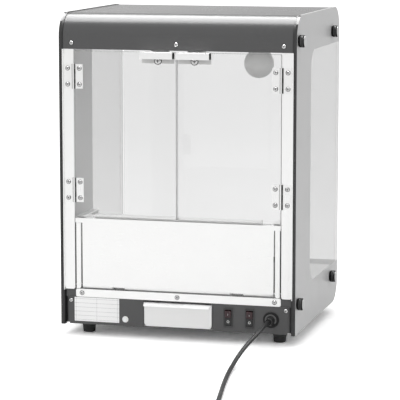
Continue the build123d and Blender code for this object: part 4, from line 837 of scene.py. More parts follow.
def perforated_tree() -> NodeTree:
    """Builds the tree for a flat sheet with a grid of round holes.

    Returns:
        The tree; it makes one sheet centred at Place.
    """
    tree = NodeTree("Perforated sheet", ("Width", "Depth", "Thickness", "Hole Radius", "Span X", "Span Y"),
                    {"Columns": "Int", "Rows": "Int", "Place": "Vector", "Material": "Material"})
    _, width, depth, thickness, hole_radius, span_x, span_y, columns, rows, place, material = tree.given()
    border = tree.geo("CurvePrimitiveQuadrilateral", {"Width": width, "Height": depth})
    grid = tree.geo("MeshGrid", {"Size X": span_x, "Size Y": span_y, "Vertices X": columns,
                                 "Vertices Y": rows})
    hole = tree.geo("CurvePrimitiveCircle", {"Resolution": 12, "Radius": hole_radius})
    face = tree.geo("FillCurve", {"Curve": tree.joined(border, tree.real(tree.repeated(grid, hole)))})
    top = tree.geo("ExtrudeMesh", {"Mesh": face, "Offset Scale": thickness, "Individual": False})
    under = tree.geo("FlipFaces", {"Mesh": face})
    whole = tree.geo("MergeByDistance", {"Geometry": tree.joined(top, under), "Distance": 1e-5})
    tree.close(tree.moved(whole, Translation=place), material)
    return tree


def bent_sheet_tree() -> NodeTree:
    """Builds the tree for a sheet bent along a line of straight runs with rounded corners.

    Returns:
        The tree; the line is the edges that go in, and the sheet spreads to both sides along X.
    """
    tree = NodeTree("Bent sheet", ("Width", "Thickness", "Corner Radius", "Edge Rounding"),
                    {"Corner Steps": "Int", "Material": "Material"})
    edges, width, thickness, radius, rounding, steps, material = tree.given()
    line = tree.geo("FilletCurve", {"Curve": tree.geo("MeshToCurve", {"Mesh": edges}), "Radius": radius,
                                    "Count": steps}, mode="POLY")
    line = tree.geo("SetCurveNormal", {"Curve": line, "Normal": (1.0, 0.0, 0.0)}, mode="FREE")
    section = tree.geo("CurvePrimitiveQuadrilateral", {"Width": width, "Height": thickness})
    section = tree.geo("FilletCurve", {"Curve": section, "Radius": rounding, "Count": 3}, mode="POLY")
    sheet = tree.geo("CurveToMesh", {"Curve": line, "Profile Curve": section, "Fill Caps": True})
    tree.close(sheet, material)
    return tree


def sleeve_tree() -> NodeTree:
    """Builds the tree for a tapered sleeve with rings round it, such as a cord's strain relief.

    Returns:
        The tree; the sleeve starts at Place and runs along its own Z, turned by Turn.
    """
    tree = NodeTree("Ringed sleeve", ("Root Radius", "Tip Radius", "Length", "Ring Count", "Ring Depth"),
                    {"Place": "Vector", "Turn": "Vector", "Material": "Material"})
    _, root, tip, length, rings, ring_depth, place, turn, material = tree.given()
    level = tree.math("DIVIDE", tree.position()[2], length)
    straight = tree.math("MULTIPLY_ADD", level, tree.math("SUBTRACT", tip, root), root)
    wave = tree.math("COSINE", tree.times(tree.times(level, rings), 2 * math.pi))
    groove = tree.times(tree.math("MAXIMUM", tree.math("SUBTRACT", 0.0, wave), 0.0), ring_depth)
    sleeve = tree.swelled(tree.drum(32, 1.0, length, tree.half(length), 60),
                          tree.math("SUBTRACT", straight, groove))
    tree.close(tree.moved(sleeve, Translation=place, Rotation=turn), material)
    return tree


@dataclass(frozen=True)
class Screw:
    """One kind of pan-head screw; each size feeds the tree's input of that name."""

    head_radius: float = 4 * MM
    head_height: float = 2 * MM
    shank_radius: float = 2 * MM
    shank_length: float = 8 * MM
    nut_radius: float = 4 * MM
    nut_height: float = 2.8 * MM
    grip: float = 2 * MM
    with_nut: bool = False


class Trees:
    """Every node tree, built once, with the sizes that its uses share."""

    def __init__(self) -> None:
        """Builds the trees."""
        self.screw = screw_tree()
        self.knob = knob_tree()
        self.perforated = perforated_tree()
        self.bent_sheet = bent_sheet_tree()
        self.ringed_sleeve = sleeve_tree()

    def screws(self, name: str, kind: Screw, points: list[Vector], facing: Facing) -> Piece:
        """Puts a screw on each point, all of them as one piece."""
        sizes = {key.replace("_", " ").title(): value for key, value in asdict(kind).items()}
        return self.screw.made(name, guide(points), {
            **sizes, "Turn": facing.value, "Material": SCREW_STEEL, "Recess Material": RECESS_SHADE})

    def bent(self, name: str, x: float, line: list[Pair], sizes: dict[str, object]) -> Piece:
        """Bends a sheet with its middle at X along a line of depths and heights."""
        edges = [(i, i + 1) for i in range(len(line) - 1)]
        return self.bent_sheet.made(name, guide([Vector((x, y, z)) for y, z in line], edges), sizes)

    def sleeve(self, name: str, place: Vector, radii: Pair, length: float, rings: int,
               groove: float) -> Piece:
        """Makes a black ringed sleeve that runs from its root towards the operator."""
        return self.ringed_sleeve.made(name, guide(), {
            "Place": place, "Turn": Facing.OPERATOR.value, "Root Radius": radii[0], "Tip Radius": radii[1],
            "Length": length, "Ring Count": float(rings), "Ring Depth": groove, "Material": BLACK})


@dataclass
class Levels:
    """Sizes that several sub-assemblies share."""

    half_width: float = 227.5 * MM
    front: float = -185 * MM
    back: float = 205 * MM
    bottom: float = 22 * MM
    top: float = 612 * MM
    corner: float = 44 * MM
    face: float = -182 * MM
    cover: float = -180.5 * MM
    leaf: float = 1.2 * MM
    hinge_rows: tuple[float, ...] = (265 * MM, 295 * MM, 479 * MM, 509 * MM)


def look(eye: Triple, target: Triple) -> object:
    """The turn that points a lamp or camera from one point at another."""
    return (Vector(target) - Vector(eye)).to_track_quat("-Z", "Y").to_euler()


@dataclass(frozen=True)
class Softbox:
    """A rectangular lamp; its power is in watts."""

    name: str
    place: Triple
    target: Triple
    width: float
    height: float
    power: float
    hidden: tuple[str, ...] = ()

    def build(self) -> None:
        """Hangs the lamp, unseen by the camera and by the kinds of ray that it is hidden from."""
        data = bpy.data.lights.new(self.name, "AREA")
        data.shape = "RECTANGLE"
        data.size, data.size_y, data.energy = self.width, self.height, self.power
        lamp = new_object(self.name, data)
        lamp.location = self.place
        lamp.rotation_euler = look(self.place, self.target)
        for kind in ("camera", *self.hidden):
            setattr(lamp, f"visible_{kind}", False)


@dataclass
class Studio:
    """Floor, light and camera; each level is what one kind of ray sees, a later kind before an earlier."""

    eye: Triple = (1040.64 * MM, -3871.71 * MM, 820.17 * MM)
    target: Triple = (-5.56 * MM, 5.0 * MM, 241.46 * MM)
    lens: float = 187.505
    sensor: float = 36.0
    far_clip: float = 60.0
    reach: float = 14.0
    floor: float = 1.0
    floor_levels: tuple[tuple[str, float], ...] = (
        ("Is Glossy Ray", 1.07), ("Is Transmission Ray", 1.14), ("Is Camera Ray", 1.65))
    floor_drift: Pair = (0.94, 0.96)
    floor_drift_scale: float = 3.0
    floor_roughness: float = 0.9
    floor_specular: float = 0.1
    sky: float = 0.86
    sky_levels: tuple[tuple[str, float], ...] = (
        ("Is Glossy Ray", 0.83), ("Is Transmission Ray", 1.0), ("Is Camera Ray", 1.0))
    lamps: tuple[Softbox, ...] = (
        Softbox("overhead_softbox", (0.0, 0.0, 2.4), (0.0, 0.0, 0.6), 2.4, 1.4, 7.0),
        Softbox("front_softbox", (-0.8, -2.4, 1.9), (0.0, 0.0, 0.3), 1.6, 1.2, 11.0, ("glossy",)),
        Softbox("gloss_softbox", (0.35, 0.47, 2.3), (0.35, 0.47, 0.6), 3.4, 2.0, 300.0,
                ("diffuse", "transmission")))

    def build(self) -> None:
        """Builds the camera, the floor, the world and the lamps."""
        self._camera()
        self._floor()
        self._world()
        for lamp in self.lamps:
            lamp.build()

    def _camera(self) -> None:
        """Places the camera where the photograph was taken from."""
        data = bpy.data.cameras.new("camera")
        data.lens, data.sensor_width, data.clip_end = self.lens, self.sensor, self.far_clip
        camera = new_object("camera", data)
        camera.location = self.eye
        camera.rotation_euler = look(self.eye, self.target)
        bpy.context.scene.camera = camera

    def _floor(self) -> None:
        """Lays a plain pale floor that keeps the shadow."""
        mesh = bpy.data.meshes.new("floor")
        corners = [(x * self.reach, y * self.reach, 0.0) for x, y in ((-1, -1), (1, -1), (1, 1), (-1, 1))]
        mesh.from_pydata(corners, [], [(0, 1, 2, 3)])
        nodes = MaterialNodes("studio_floor")
        low, high = self.floor_drift
        noise = nodes.noise(nodes.place, Scale=self.floor_drift_scale)
        drift = nodes.ranged(noise, {"To Min": low, "To Max": high})
        shown = nodes.times(drift, self._seen(nodes, self.floor, self.floor_levels))
        nodes.feed(nodes.shader, {"Base Color": shown, "Roughness": self.floor_roughness,
                                  "Specular IOR Level": self.floor_specular})
        mesh.materials.append(nodes.material)
        new_object("floor", mesh)

    def _world(self) -> None:
        """Lights the scene evenly, with a white background for the eye, for gloss and for glass."""
        world = bpy.data.worlds.new("studio")
        bpy.context.scene.world = world
        world.use_nodes = True
        nodes = Nodes(world.node_tree)
        nodes.feed(nodes.tree.nodes["Background"], {
            "Color": (1.0, 1.0, 1.0, 1.0), "Strength": self._seen(nodes, self.sky, self.sky_levels)})

    @staticmethod
    def _seen(nodes: Nodes, level: float, levels: tuple[tuple[str, float], ...]) -> Socket:
        """One level for rays that light the scene and others for those that show it.

        Args:
            nodes: the nodes to add to.
            level: the level for the other rays.
            levels: Light Path outputs with their levels, the later ones first in rank.

        Returns:
            The level.
        """
        path = nodes.node("ShaderNodeLightPath").outputs
        for name, shown in levels:
            level = nodes.ranged(path[name], {"To Min": level, "To Max": shown})
        return level


@dataclass
class MainsCord:
    """The mains cord: out of the gland, down to the bench, along it and into a stored coil.

    The start, the route, the coil's sizes and the plug's are in millimetres.
    """

    diameter: float = 7.6 * MM
    length: float = 1.8
    start: Triple = (181.0, -206.0, 50.0)
    route: tuple[Triple, ...] = (
        (181.0, -232.0, 50.0), (180.2, -258.0, 46.6), (174.0, -286.0, 38.4), (164.6, -318.0, 26.0),
        (159.0, -352.0, 13.6), (159.0, -387.0, 6.3), (162.4, -424.0, 4.0), (168.3, -464.0, 3.9),
        (175.3, -508.0, 3.9), (183.4, -554.0, 3.9), (191.8, -600.0, 3.9), (200.2, -648.0, 3.9),
        (208.8, -699.0, 4.3), (215.0, -752.0, 5.0), (215.0, -790.0, 5.0))
    run_in: float = 7.6
    outer_radius: float = 45.0
    pitch: float = 8.2
    half_turns: int = 4
    plug_level: float = 20.0
    points_per_half: int = 8
    resolution: int = 6
    plug_radius: float = 19.0
    plug_length: float = 40.0
    boot_length: float = 34.0
    boot_radii: Pair = (5.6, 10.5)
    boot_rings: int = 6
    boot_groove: float = 1.2
    pin_length: float = 19.0
    pin_spread: float = 9.5

    def coil(self) -> list[Vector]:
        """The coil's control points: in on the bench, up at the inside and out on top.

        Returns:
            The points in millimetres, ending where the plug's boot begins.
        """
        down = [self.outer_radius - self.pitch / 2 * i for i in range(self.half_turns)]
        climb = down[-1] - self.pitch / 2
        up = [climb + self.pitch / 2 * (i + 1) for i in range(self.half_turns)]
        turns = [(r, 0.0) for r in down] + [(climb, self.pitch)] + [(r, 0.0) for r in up]
        turns.append((up[-1] + self.pitch / 2, self.plug_level - self.route[-1][2] - self.pitch))
        step = math.pi / self.points_per_half
        outward = 2.0 / (1.0 + math.cos(step / 2) ** 2)
        place = Vector(self.route[-1]) + Vector((0.0, -self.run_in, 0.0))
        heading = -1
        points = []
        for radius, rise in turns:
            centre = place + Vector((heading * radius, 0.0, 0.0))
            for i in range(self.points_per_half):
                share = (i + 0.5) / self.points_per_half
                turn = math.pi * share
                points.append(centre + Vector((-heading * radius * outward * math.cos(turn),
                                               heading * radius * outward * math.sin(turn), rise * share)))
            place = place + Vector((heading * 2 * radius, 0.0, rise))
            heading = -heading
        points.append(place + Vector((0.0, -self.run_in, 0.0)))
        return points

    def build(self, trees: Trees, tie: Piece) -> None:
        """Args:
            trees: the geometry node trees.
            tie: the tie round the coil; not used.
        """
        points = [Vector(self.start)] + [Vector(p) for p in self.route] + self.coil()
        curve = bpy.data.curves.new("mains_cord", "CURVE")
        curve.dimensions = "3D"
        curve.resolution_u = curve.bevel_resolution = self.resolution
        curve.bevel_depth = self.diameter / 2
        curve.use_fill_caps = True
        spline = curve.splines.new("NURBS")
        spline.points.add(len(points) - 1)
        for control, point in zip(spline.points, points):
            control.co = (*(point * MM), 1.0)
        spline.order_u = 3
        spline.use_endpoint_u = True
        curve.materials.append(CORD_RUBBER.material())
        cord = finish_piece(new_object("mains_cord", curve), ROOT, "cord_rubber", "cord_lead", "cord_coil")
        plug = self._plug(points[-1] * MM, trees)

    def _plug(self, start: Vector, trees: Trees) -> list[Piece]:
        """Builds the moulded plug with its ringed boot and two pins.

        Args:
            start: where the cord runs into the boot.
            trees: the geometry node trees.

        Returns:
            The plug's pieces.
        """
        place = outwards(*start)
        base, r = self.boot_length, self.plug_radius
        end = base + self.plug_length
        tip = end + self.pin_length
        bm = lathe(mm((0, base - 2), (r * 0.62, base - 2), (r * 0.86, base + 1), (r, base + 6),
                      (r, base + 14), (r * 0.95, base + 16), (r * 0.95, base + 22), (r, base + 24),
                      (r, end - 1.5), (r - 1.5, end), (0, end)), place)
        for side in Side:
            shift = Matrix.Translation(Vector((side.value * self.pin_spread * MM, 0.0, 0.0)))
            lathe(mm((0, end - 1), (2.4, end - 1), (2.4, tip - 2), (1.5, tip), (0, tip)), place @ shift,
                  20, bm, 1)
        body = finish_piece(piece_from(bm, "plug_body", BLACK, BRIGHT), ROOT, "black_plastic", "mains_plug")
        boot = trees.sleeve("plug_boot", start, mm(self.boot_radii)[0], self.boot_length * MM,
                            self.boot_rings, self.boot_groove * MM)
        return [body, finish_piece(boot, ROOT, "black_plastic")]


@dataclass
class SidePanes:
    """The two glass sides: clear in a window, printed grey round it, with dark and pale edges."""

    levels: Levels
    thickness: float = 4 * MM
    window_front: float = 125 * MM
    window_low: float = 80 * MM
    window_high: float = 520 * MM
    window_corner: float = 32 * MM
    near: float = 1 * MM

    def build(self) -> None:
        """Builds both panes."""
        for side in Side:
            self._pane(side)

    def _pane(self, side: Side) -> None:
        """Builds one pane as a closed slab whose outer face is split into window and print."""
        lv = self.levels
        low, high = lv.bottom + self.window_low, lv.bottom + self.window_high
        near = lv.front + self.window_front
        r, w = lv.corner, self.window_corner
        border = [(lv.back, high), *arc((lv.back - r, lv.top - r), r, 0, 90),
                  *arc((lv.front + r, lv.top - r), r, 90, 180), (lv.front, lv.bottom),
                  *arc((lv.back - r, lv.bottom + r), r, -90, 0), (lv.back, low)]
        window = [*arc((near + w, low + w), w, -90, -180), *arc((near + w, high - w), w, 180, 90)]
        bm = bmesh.new()
        outer_x = side.value * lv.half_width
        inner_x = side.value * (lv.half_width - self.thickness)
        rim, hole, back_rim = ([bm.verts.new((x, y, z)) for y, z in line]
                               for x, line in ((outer_x, border), (outer_x, window), (inner_x, border)))
        bm.faces.new(rim + hole).material_index = 1
        bm.faces.new([rim[0]] + list(reversed(hole)) + [rim[-1]])
        bm.faces.new(list(reversed(back_rim)))
        for i in range(len(rim)):
            j = (i + 1) % len(rim)
            face = bm.faces.new((rim[j], rim[i], back_rim[i], back_rim[j]))
            at_back = min(rim[i].co.y, rim[j].co.y) > lv.back - self.near
            at_top = min(rim[i].co.z, rim[j].co.z) > lv.top - self.near
            face.material_index = 3 if at_back or at_top else 2
        bmesh.ops.recalc_face_normals(bm, faces=bm.faces)
        pane = piece_from(bm, f"side_pane_{side.word}", SIDE_PANE, PRINT, DARK_EDGE, PALE_EDGE)
        finish_piece(pane, ROOT, "side_glass", f"side_glass_{side.word}")


@dataclass
class Doors:
    """The two glass doors: panes with ground edges, bent pulls, and their screws and nuts."""

    levels: Levels
    inner_edge: float = 1 * MM
    outer_edge: float = 198.5 * MM
    low: float = 228.5 * MM
    high: float = 542 * MM
    thickness: float = 5 * MM
    corner: float = 2 * MM
    chamfer: float = 0.5 * MM
    screw_x: float = 188 * MM
    pull_x: float = 35 * MM
    pull_z: float = 526 * MM
    pull_width: float = 63 * MM
    pull_low: float = 521 * MM
    pull_high: float = 543 * MM
    pull_lip: float = 13 * MM
    pull_reach: float = 18 * MM
    pull_bend: float = 1.4 * MM
    pull_rounding: float = 0.35 * MM
    pull_steps: int = 5
    pull_plate: float = 1.1 * MM
    flat: float = 0.95
    sideways: float = 0.5
    chamfer_angle: float = math.radians(60)
    spare_thread: float = 3 * MM
    hinge_screw: Screw = Screw(with_nut=True)
    pull_screw: Screw = Screw(head_radius=6.5 * MM, head_height=3 * MM, shank_radius=2.5 * MM,
                              nut_radius=4.5 * MM, with_nut=True)

    def build(self, trees: Trees) -> None:
        """Builds both doors' panes, pulls and fixings."""
        for side in Side:
            body = f"door_{side.word}"
            self._pane(side, body)
            self._pull(side, body, trees)
            self._fixings(side, body, trees)

    def _pull(self, side: Side, body: str, trees: Trees) -> None:
        """Builds one pull: a strip screwed to the pane, bent forward and down, with painted shade inside."""
        plate = self.levels.face - self.levels.leaf / 2
        lip = self.levels.face - self.pull_reach + self.levels.leaf / 2
        top = self.pull_high - self.levels.leaf / 2
        edge = self.pull_high - self.pull_lip
        line = [(plate, self.pull_low), (plate, edge), (plate, top), (lip, top), (lip, edge)]
        pull = trees.bent(f"bent_pull_{side.word}", side.value * self.pull_x, line, {
            "Width": self.pull_width, "Thickness": self.levels.leaf, "Corner Radius": self.pull_bend,
            "Corner Steps": self.pull_steps, "Edge Rounding": self.pull_rounding, "Material": STAINLESS})
        for finish in (RECESS_SHADE, PULL_PLATE_SHADE):
            pull.data.materials.append(finish.material())
        # Faces inside the bend take painted shade: near black above the lip's edge, grey on the plate below
        # it.
        for face in pull.data.polygons:
            y, z = face.center.y, face.center.z
            inside = lip < y < self.levels.face - self.pull_plate and z < top
            if inside and abs(face.normal.x) < self.sideways:
                face.material_index = 1 if edge < z else 2
        finish_piece(pull, body, "stainless", f"door_pull_{side.word}")

    def _pane(self, side: Side, body: str) -> None:
        """Builds one pane with chamfered, ground edges."""
        x0, x1 = sorted((side.value * self.inner_edge, side.value * self.outer_edge))
        outline = [Vector((x, self.levels.face, z))
                   for x, z in rounded((x0, self.low), (x1, self.high), self.corner)]
        bm = prism(outline, Vector((0.0, self.thickness, 0.0)))
        bevelled(bm, self.chamfer, 1, self.chamfer_angle)
        for face in bm.faces:
            face.material_index = 0 if abs(face.normal.y) > self.flat else 1
        pane = piece_from(bm, f"pane_{side.word}", PANE, PANE_EDGE)
        finish_piece(pane, body, "pane_glass", f"door_pane_{side.word}")

    def _fixings(self, side: Side, body: str, trees: Trees) -> None:
        """Builds one door's hinge screws and its pull's screw, each with a nut behind the pane."""
        grip = self.thickness + self.levels.leaf
        for name, kind, x, rows in (
                ("hinge_fixings", self.hinge_screw, self.screw_x, self.levels.hinge_rows),
                ("pull_screw", self.pull_screw, self.pull_x, (self.pull_z,))):
            fitted = replace(kind, shank_length=grip + self.spare_thread, grip=grip)
            points = [Vector((side.value * x, self.levels.face - self.levels.leaf, z)) for z in rows]
            screws = trees.screws(f"{name}_{side.word}", fitted, points, Facing.OPERATOR)
            finish_piece(screws, body, "bright_steel", f"door_fixings_{side.word}")


@dataclass
class CabinetScrews:
    """The pan-head screws of the hood, sill, base cover, posts and apron."""

    levels: Levels
    hood_row: tuple[Pair, ...] = ((-203.0, 556.5), (0.0, 556.5), (203.0, 556.5))
    apron_row: tuple[Pair, ...] = ((-203.0, 82.0), (0.0, 82.0), (203.0, 82.0))
    cover_rows: tuple[Pair, ...] = (
        (-187.0, 83.0), (0.0, 83.0), (187.0, 83.0), (-209.0, 68.0), (209.0, 68.0))
    post_x: float = 211 * MM
    rear_shank: float = 12 * MM
    sink: float = 1 * MM

    def build(self, trees: Trees) -> None:
        """Builds the screws that face the operator and those that face the customer."""
        lv = self.levels
        front = [Vector((x, lv.front + self.sink, z)) for x, z in mm(*self.hood_row)]
        front += [Vector((x, lv.cover, z)) for x, z in mm(*self.cover_rows)]
        front += [Vector((side.value * self.post_x, lv.face - lv.leaf, z))
                  for side in Side for z in lv.hinge_rows]
        rear = [Vector((x, lv.back - self.sink, z)) for x, z in mm(*self.hood_row, *self.apron_row)]
        for name, kind, points, facing in (
                ("operator_screws", Screw(), front, Facing.OPERATOR),
                ("customer_screws", Screw(shank_length=self.rear_shank), rear, Facing.CUSTOMER)):
            finish_piece(trees.screws(name, kind, points, facing), ROOT, "bright_steel", "cabinet_screws")


@dataclass
class Knobs:
    """The ribbed knobs that clamp the glass sides; a row has its level and where its studs end."""

    levels: Levels
    radius: float = 11.5 * MM
    length: float = 11.3 * MM
    gap: float = 0.3 * MM
    ribs: int = 28
    rib_radius: float = 0.8 * MM
    cap_radius: float = 9.8 * MM
    cap_height: float = 1.8 * MM
    stud_radius: float = 3 * MM
    front_inset: float = 16 * MM
    rear_inset: float = 73 * MM
    rows: tuple[tuple[str, float, float], ...] = (
        ("lower", 80 * MM, 211.5 * MM), ("upper", 566 * MM, 210.0 * MM))

    def build(self, trees: Trees) -> None:
        """Builds a knob on each of its own bodies; the left side has none at the front."""
        lv = self.levels
        root = lv.half_width + self.gap
        columns = (("front", lv.front + self.front_inset), ("rear", lv.back - self.rear_inset))
        for side in Side:
            for row, z, stud_end in self.rows:
                for column, y in columns[1:] if side is Side.LEFT else columns:
                    node = f"knob_{side.word}_{row}_{column}"
                    knob = trees.knob.made(f"ribbed_{node}", guide(), {
                        "Place": (side.value * root, y, z), "Turn": (0.0, side.value * QUARTER, 0.0),
                        "Radius": self.radius, "Length": self.length, "Rib Count": self.ribs,
                        "Rib Radius": self.rib_radius, "Cap Radius": self.cap_radius,
                        "Cap Height": self.cap_height, "Stud Radius": self.stud_radius,
                        "Stud Length": root - stud_end, "Grip Material": KNOB_BLACK,
                        "Cap Material": KNOB_CAP, "Ring Material": KNOB_RING_GLAND_HIGHLIGHT, "Stud Material": SCREW_STEEL})
                    finish_piece(knob, node, "knob_plastic", node)


@dataclass
class Sheetwork:
    """The bent hood and apron, and the perforated deck."""

    levels: Levels
    setback: float = 1 * MM
    sheet: float = 1.5 * MM
    half: float = 220 * MM
    hood_edge: float = 545 * MM
    apron_edge: float = 101 * MM
    apron_foot: float = 64 * MM
    rounding: float = 0.45 * MM
    corner_steps: int = 20
    deck_width: float = 436.6 * MM
    deck_front: float = -152 * MM
    deck_back: float = 198.2 * MM
    deck_level: float = 90 * MM
    hole_radius: float = 3.5 * MM
    columns: int = 15
    rows: int = 13
    pitch: Pair = (24 * MM, 22 * MM)

    def build(self, trees: Trees) -> None:
        """Builds the hood, the apron and the deck."""
        lv = self.levels
        inset = self.setback + self.sheet / 2
        front, back = lv.front + inset, lv.back - inset
        low, high = lv.bottom + inset, lv.top - inset
        shapes = {
            "hood_cover": [(front, self.hood_edge), (front, high), (back, high), (back, self.hood_edge)],
            "customer_apron": [(lv.back - self.apron_foot, low), (back, low), (back, self.apron_edge)],
        }
        for node, line in shapes.items():
            sheet = trees.bent(f"bent_{node}", 0.0, line, {
                "Width": 2 * self.half, "Thickness": self.sheet, "Corner Radius": lv.corner - inset,
                "Corner Steps": self.corner_steps, "Edge Rounding": self.rounding,
                "Material": DARK_SHEET})
            finish_piece(sheet, ROOT, "dark_sheet", node)
        deck = trees.perforated.made("perforated_deck", guide(), {
            "Place": (0.0, (self.deck_front + self.deck_back) / 2, self.deck_level),
            "Width": self.deck_width, "Depth": self.deck_back - self.deck_front, "Thickness": self.sheet,
            "Hole Radius": self.hole_radius, "Columns": self.columns, "Rows": self.rows,
            "Span X": (self.columns - 1) * self.pitch[0], "Span Y": (self.rows - 1) * self.pitch[1],
            "Material": DECK_STEEL_SHADED})
        finish_piece(deck, ROOT, "stainless", "warming_deck")


@dataclass
class GapSeals:
    """Dark strips: painted shade in the slits beside the flap, the cheek plates and the base cover, and a
    dark edge strip beside the posts.

    Each strip has its ends in X, Y and Z, in millimetres, and is there on both sides.
    """

    strips: tuple[tuple[Pair, Pair, Pair], ...] = (
        ((185.9, 187.4), (-180.3, -179.3), (101.0, 221.0)),
        ((197.7, 199.1), (-180.3, -179.3), (101.0, 221.0)),
        ((218.45, 219.85), (-180.3, -172.0), (24.0, 88.0)),
        ((221.6, 223.45), (-185.2, -184.9), (88.0, 545.0)))

    def build(self) -> None:
        """Builds all eight strips as one piece."""
        bm = bmesh.new()
        for side in Side:
            for strip in self.strips:
                (inner, outer), (near, far), (low, high) = mm(*strip)
                corners = [(inner, near), (outer, near), (outer, far), (inner, far)]
                prism([Vector((side.value * x, y, low)) for x, y in corners],
                      Vector((0.0, 0.0, high - low)), bm)
        finish_piece(piece_from(bm, "gap_seals", STRIP_BLACK), ROOT, "black_plastic")


@dataclass
class Switches:
    """The two rockers, with a dark red lens above and a black half below; the bar is in millimetres."""

    level: float = 50 * MM
    places: tuple[tuple[str, float], ...] = (("light", 99 * MM), ("heat", 140 * MM))
    pivot: float = -179.8 * MM
    half_width: float = 6.2 * MM
    half_height: float = 14 * MM
    rise: float = 3 * MM
    tail: float = 4 * MM
    tilt: float = math.radians(8)
    taper: float = 1 * MM
    trunnion: float = 1.2 * MM
    trunnion_end: float = 0.8 * MM
    rounding: float = 0.45 * MM
    mark: float = 0.04 * MM
    bar: tuple[Pair, ...] = ((-0.3, -2), (0.3, -2), (0.3, 2), (-0.3, 2))
    ring: Pair = (2.6 * MM, 1.5 * MM)
    ring_steps: int = 24

    def build(self) -> None:
        """Builds each rocker with its two marks."""
        h = self.half_height
        tip = self.rise + h * math.tan(self.tilt)
        halves = (
            [(-self.rise, 0.0), (-tip, h), (self.tail - self.taper, h), (self.tail, 0.0)],
            [(-self.rise, 0.0), (self.tail, 0.0), (self.tail - self.taper, -h), (-tip, -h)],
        )
        reach = self.half_width + self.trunnion_end
        for name, x in self.places:
            pivot = Matrix.Translation(Vector((x, self.pivot, self.level)))
            place = pivot @ Matrix.Rotation(self.tilt, 4, "X")
            bm = bmesh.new()
            for index, section in enumerate(halves):
                part = prism([place @ Vector((-self.half_width, y, z)) for y, z in section],
                             place.to_3x3() @ Vector((2 * self.half_width, 0.0, 0.0)))
                bevelled(part, self.rounding, 3)
                for face in part.faces:
                    face.material_index = index
                mesh = bpy.data.meshes.new("half")
                part.to_mesh(mesh)
                part.free()
                bm.from_mesh(mesh)
                bpy.data.meshes.remove(mesh)
            lathe([(0.0, -reach), (self.trunnion, -reach), (self.trunnion, reach), (0.0, reach)],
                  pivot @ Matrix.Rotation(QUARTER, 4, "Y"), 20, bm, 1)
            rocker = piece_from(bm, f"rocker_cap_{name}", LENS_RED, ROCKER_BLACK)
            finish_piece(rocker, f"rocker_{name}", "rocker_plastic", f"rocker_{name}")
            self._marks(name, place, tip)

    def _marks(self, name: str, place: Matrix, tip: float) -> None:
        """Lays an on mark on the upper half and an off mark on the lower half.

        Args:
            name: the rocker's name.
            place: its place and tilt.
            tip: how far its ends stand out.
        """
        slope = math.atan2(tip - self.rise, self.half_height)
        upper, lower = (
            place @ Matrix.Translation(Vector((0.0, -(self.rise + tip) / 2, sign * self.half_height / 2)))
            @ Matrix.Rotation(QUARTER + sign * slope, 4, "X") for sign in (1, -1))
        bar = [upper @ Vector((x, y, -self.mark)) for x, y in mm(*self.bar)]
        bm = prism(bar, upper.to_3x3() @ Vector((0.0, 0.0, 3 * self.mark)))
        steps = self.ring_steps
        outer, inner = self.ring
        rings = [[bm.verts.new(lower @ Vector((x, y, height)))
                  for x, y in arc((0.0, 0.0), radius, 0, 360 - 360 / steps, steps - 1)]
                 for radius, height in ((outer, -self.mark), (outer, 2 * self.mark),
                                        (inner, 2 * self.mark), (inner, -self.mark))]
        made = [bm.faces.new((a[i], a[(i + 1) % steps], b[(i + 1) % steps], b[i]))
                for a, b in zip(rings, rings[1:] + rings[:1]) for i in range(steps)]
        marks = piece_from(coloured(bm, made, 0), f"rocker_marks_{name}", MARK_WHITE)
        finish_piece(marks, f"rocker_{name}", "white_plastic")


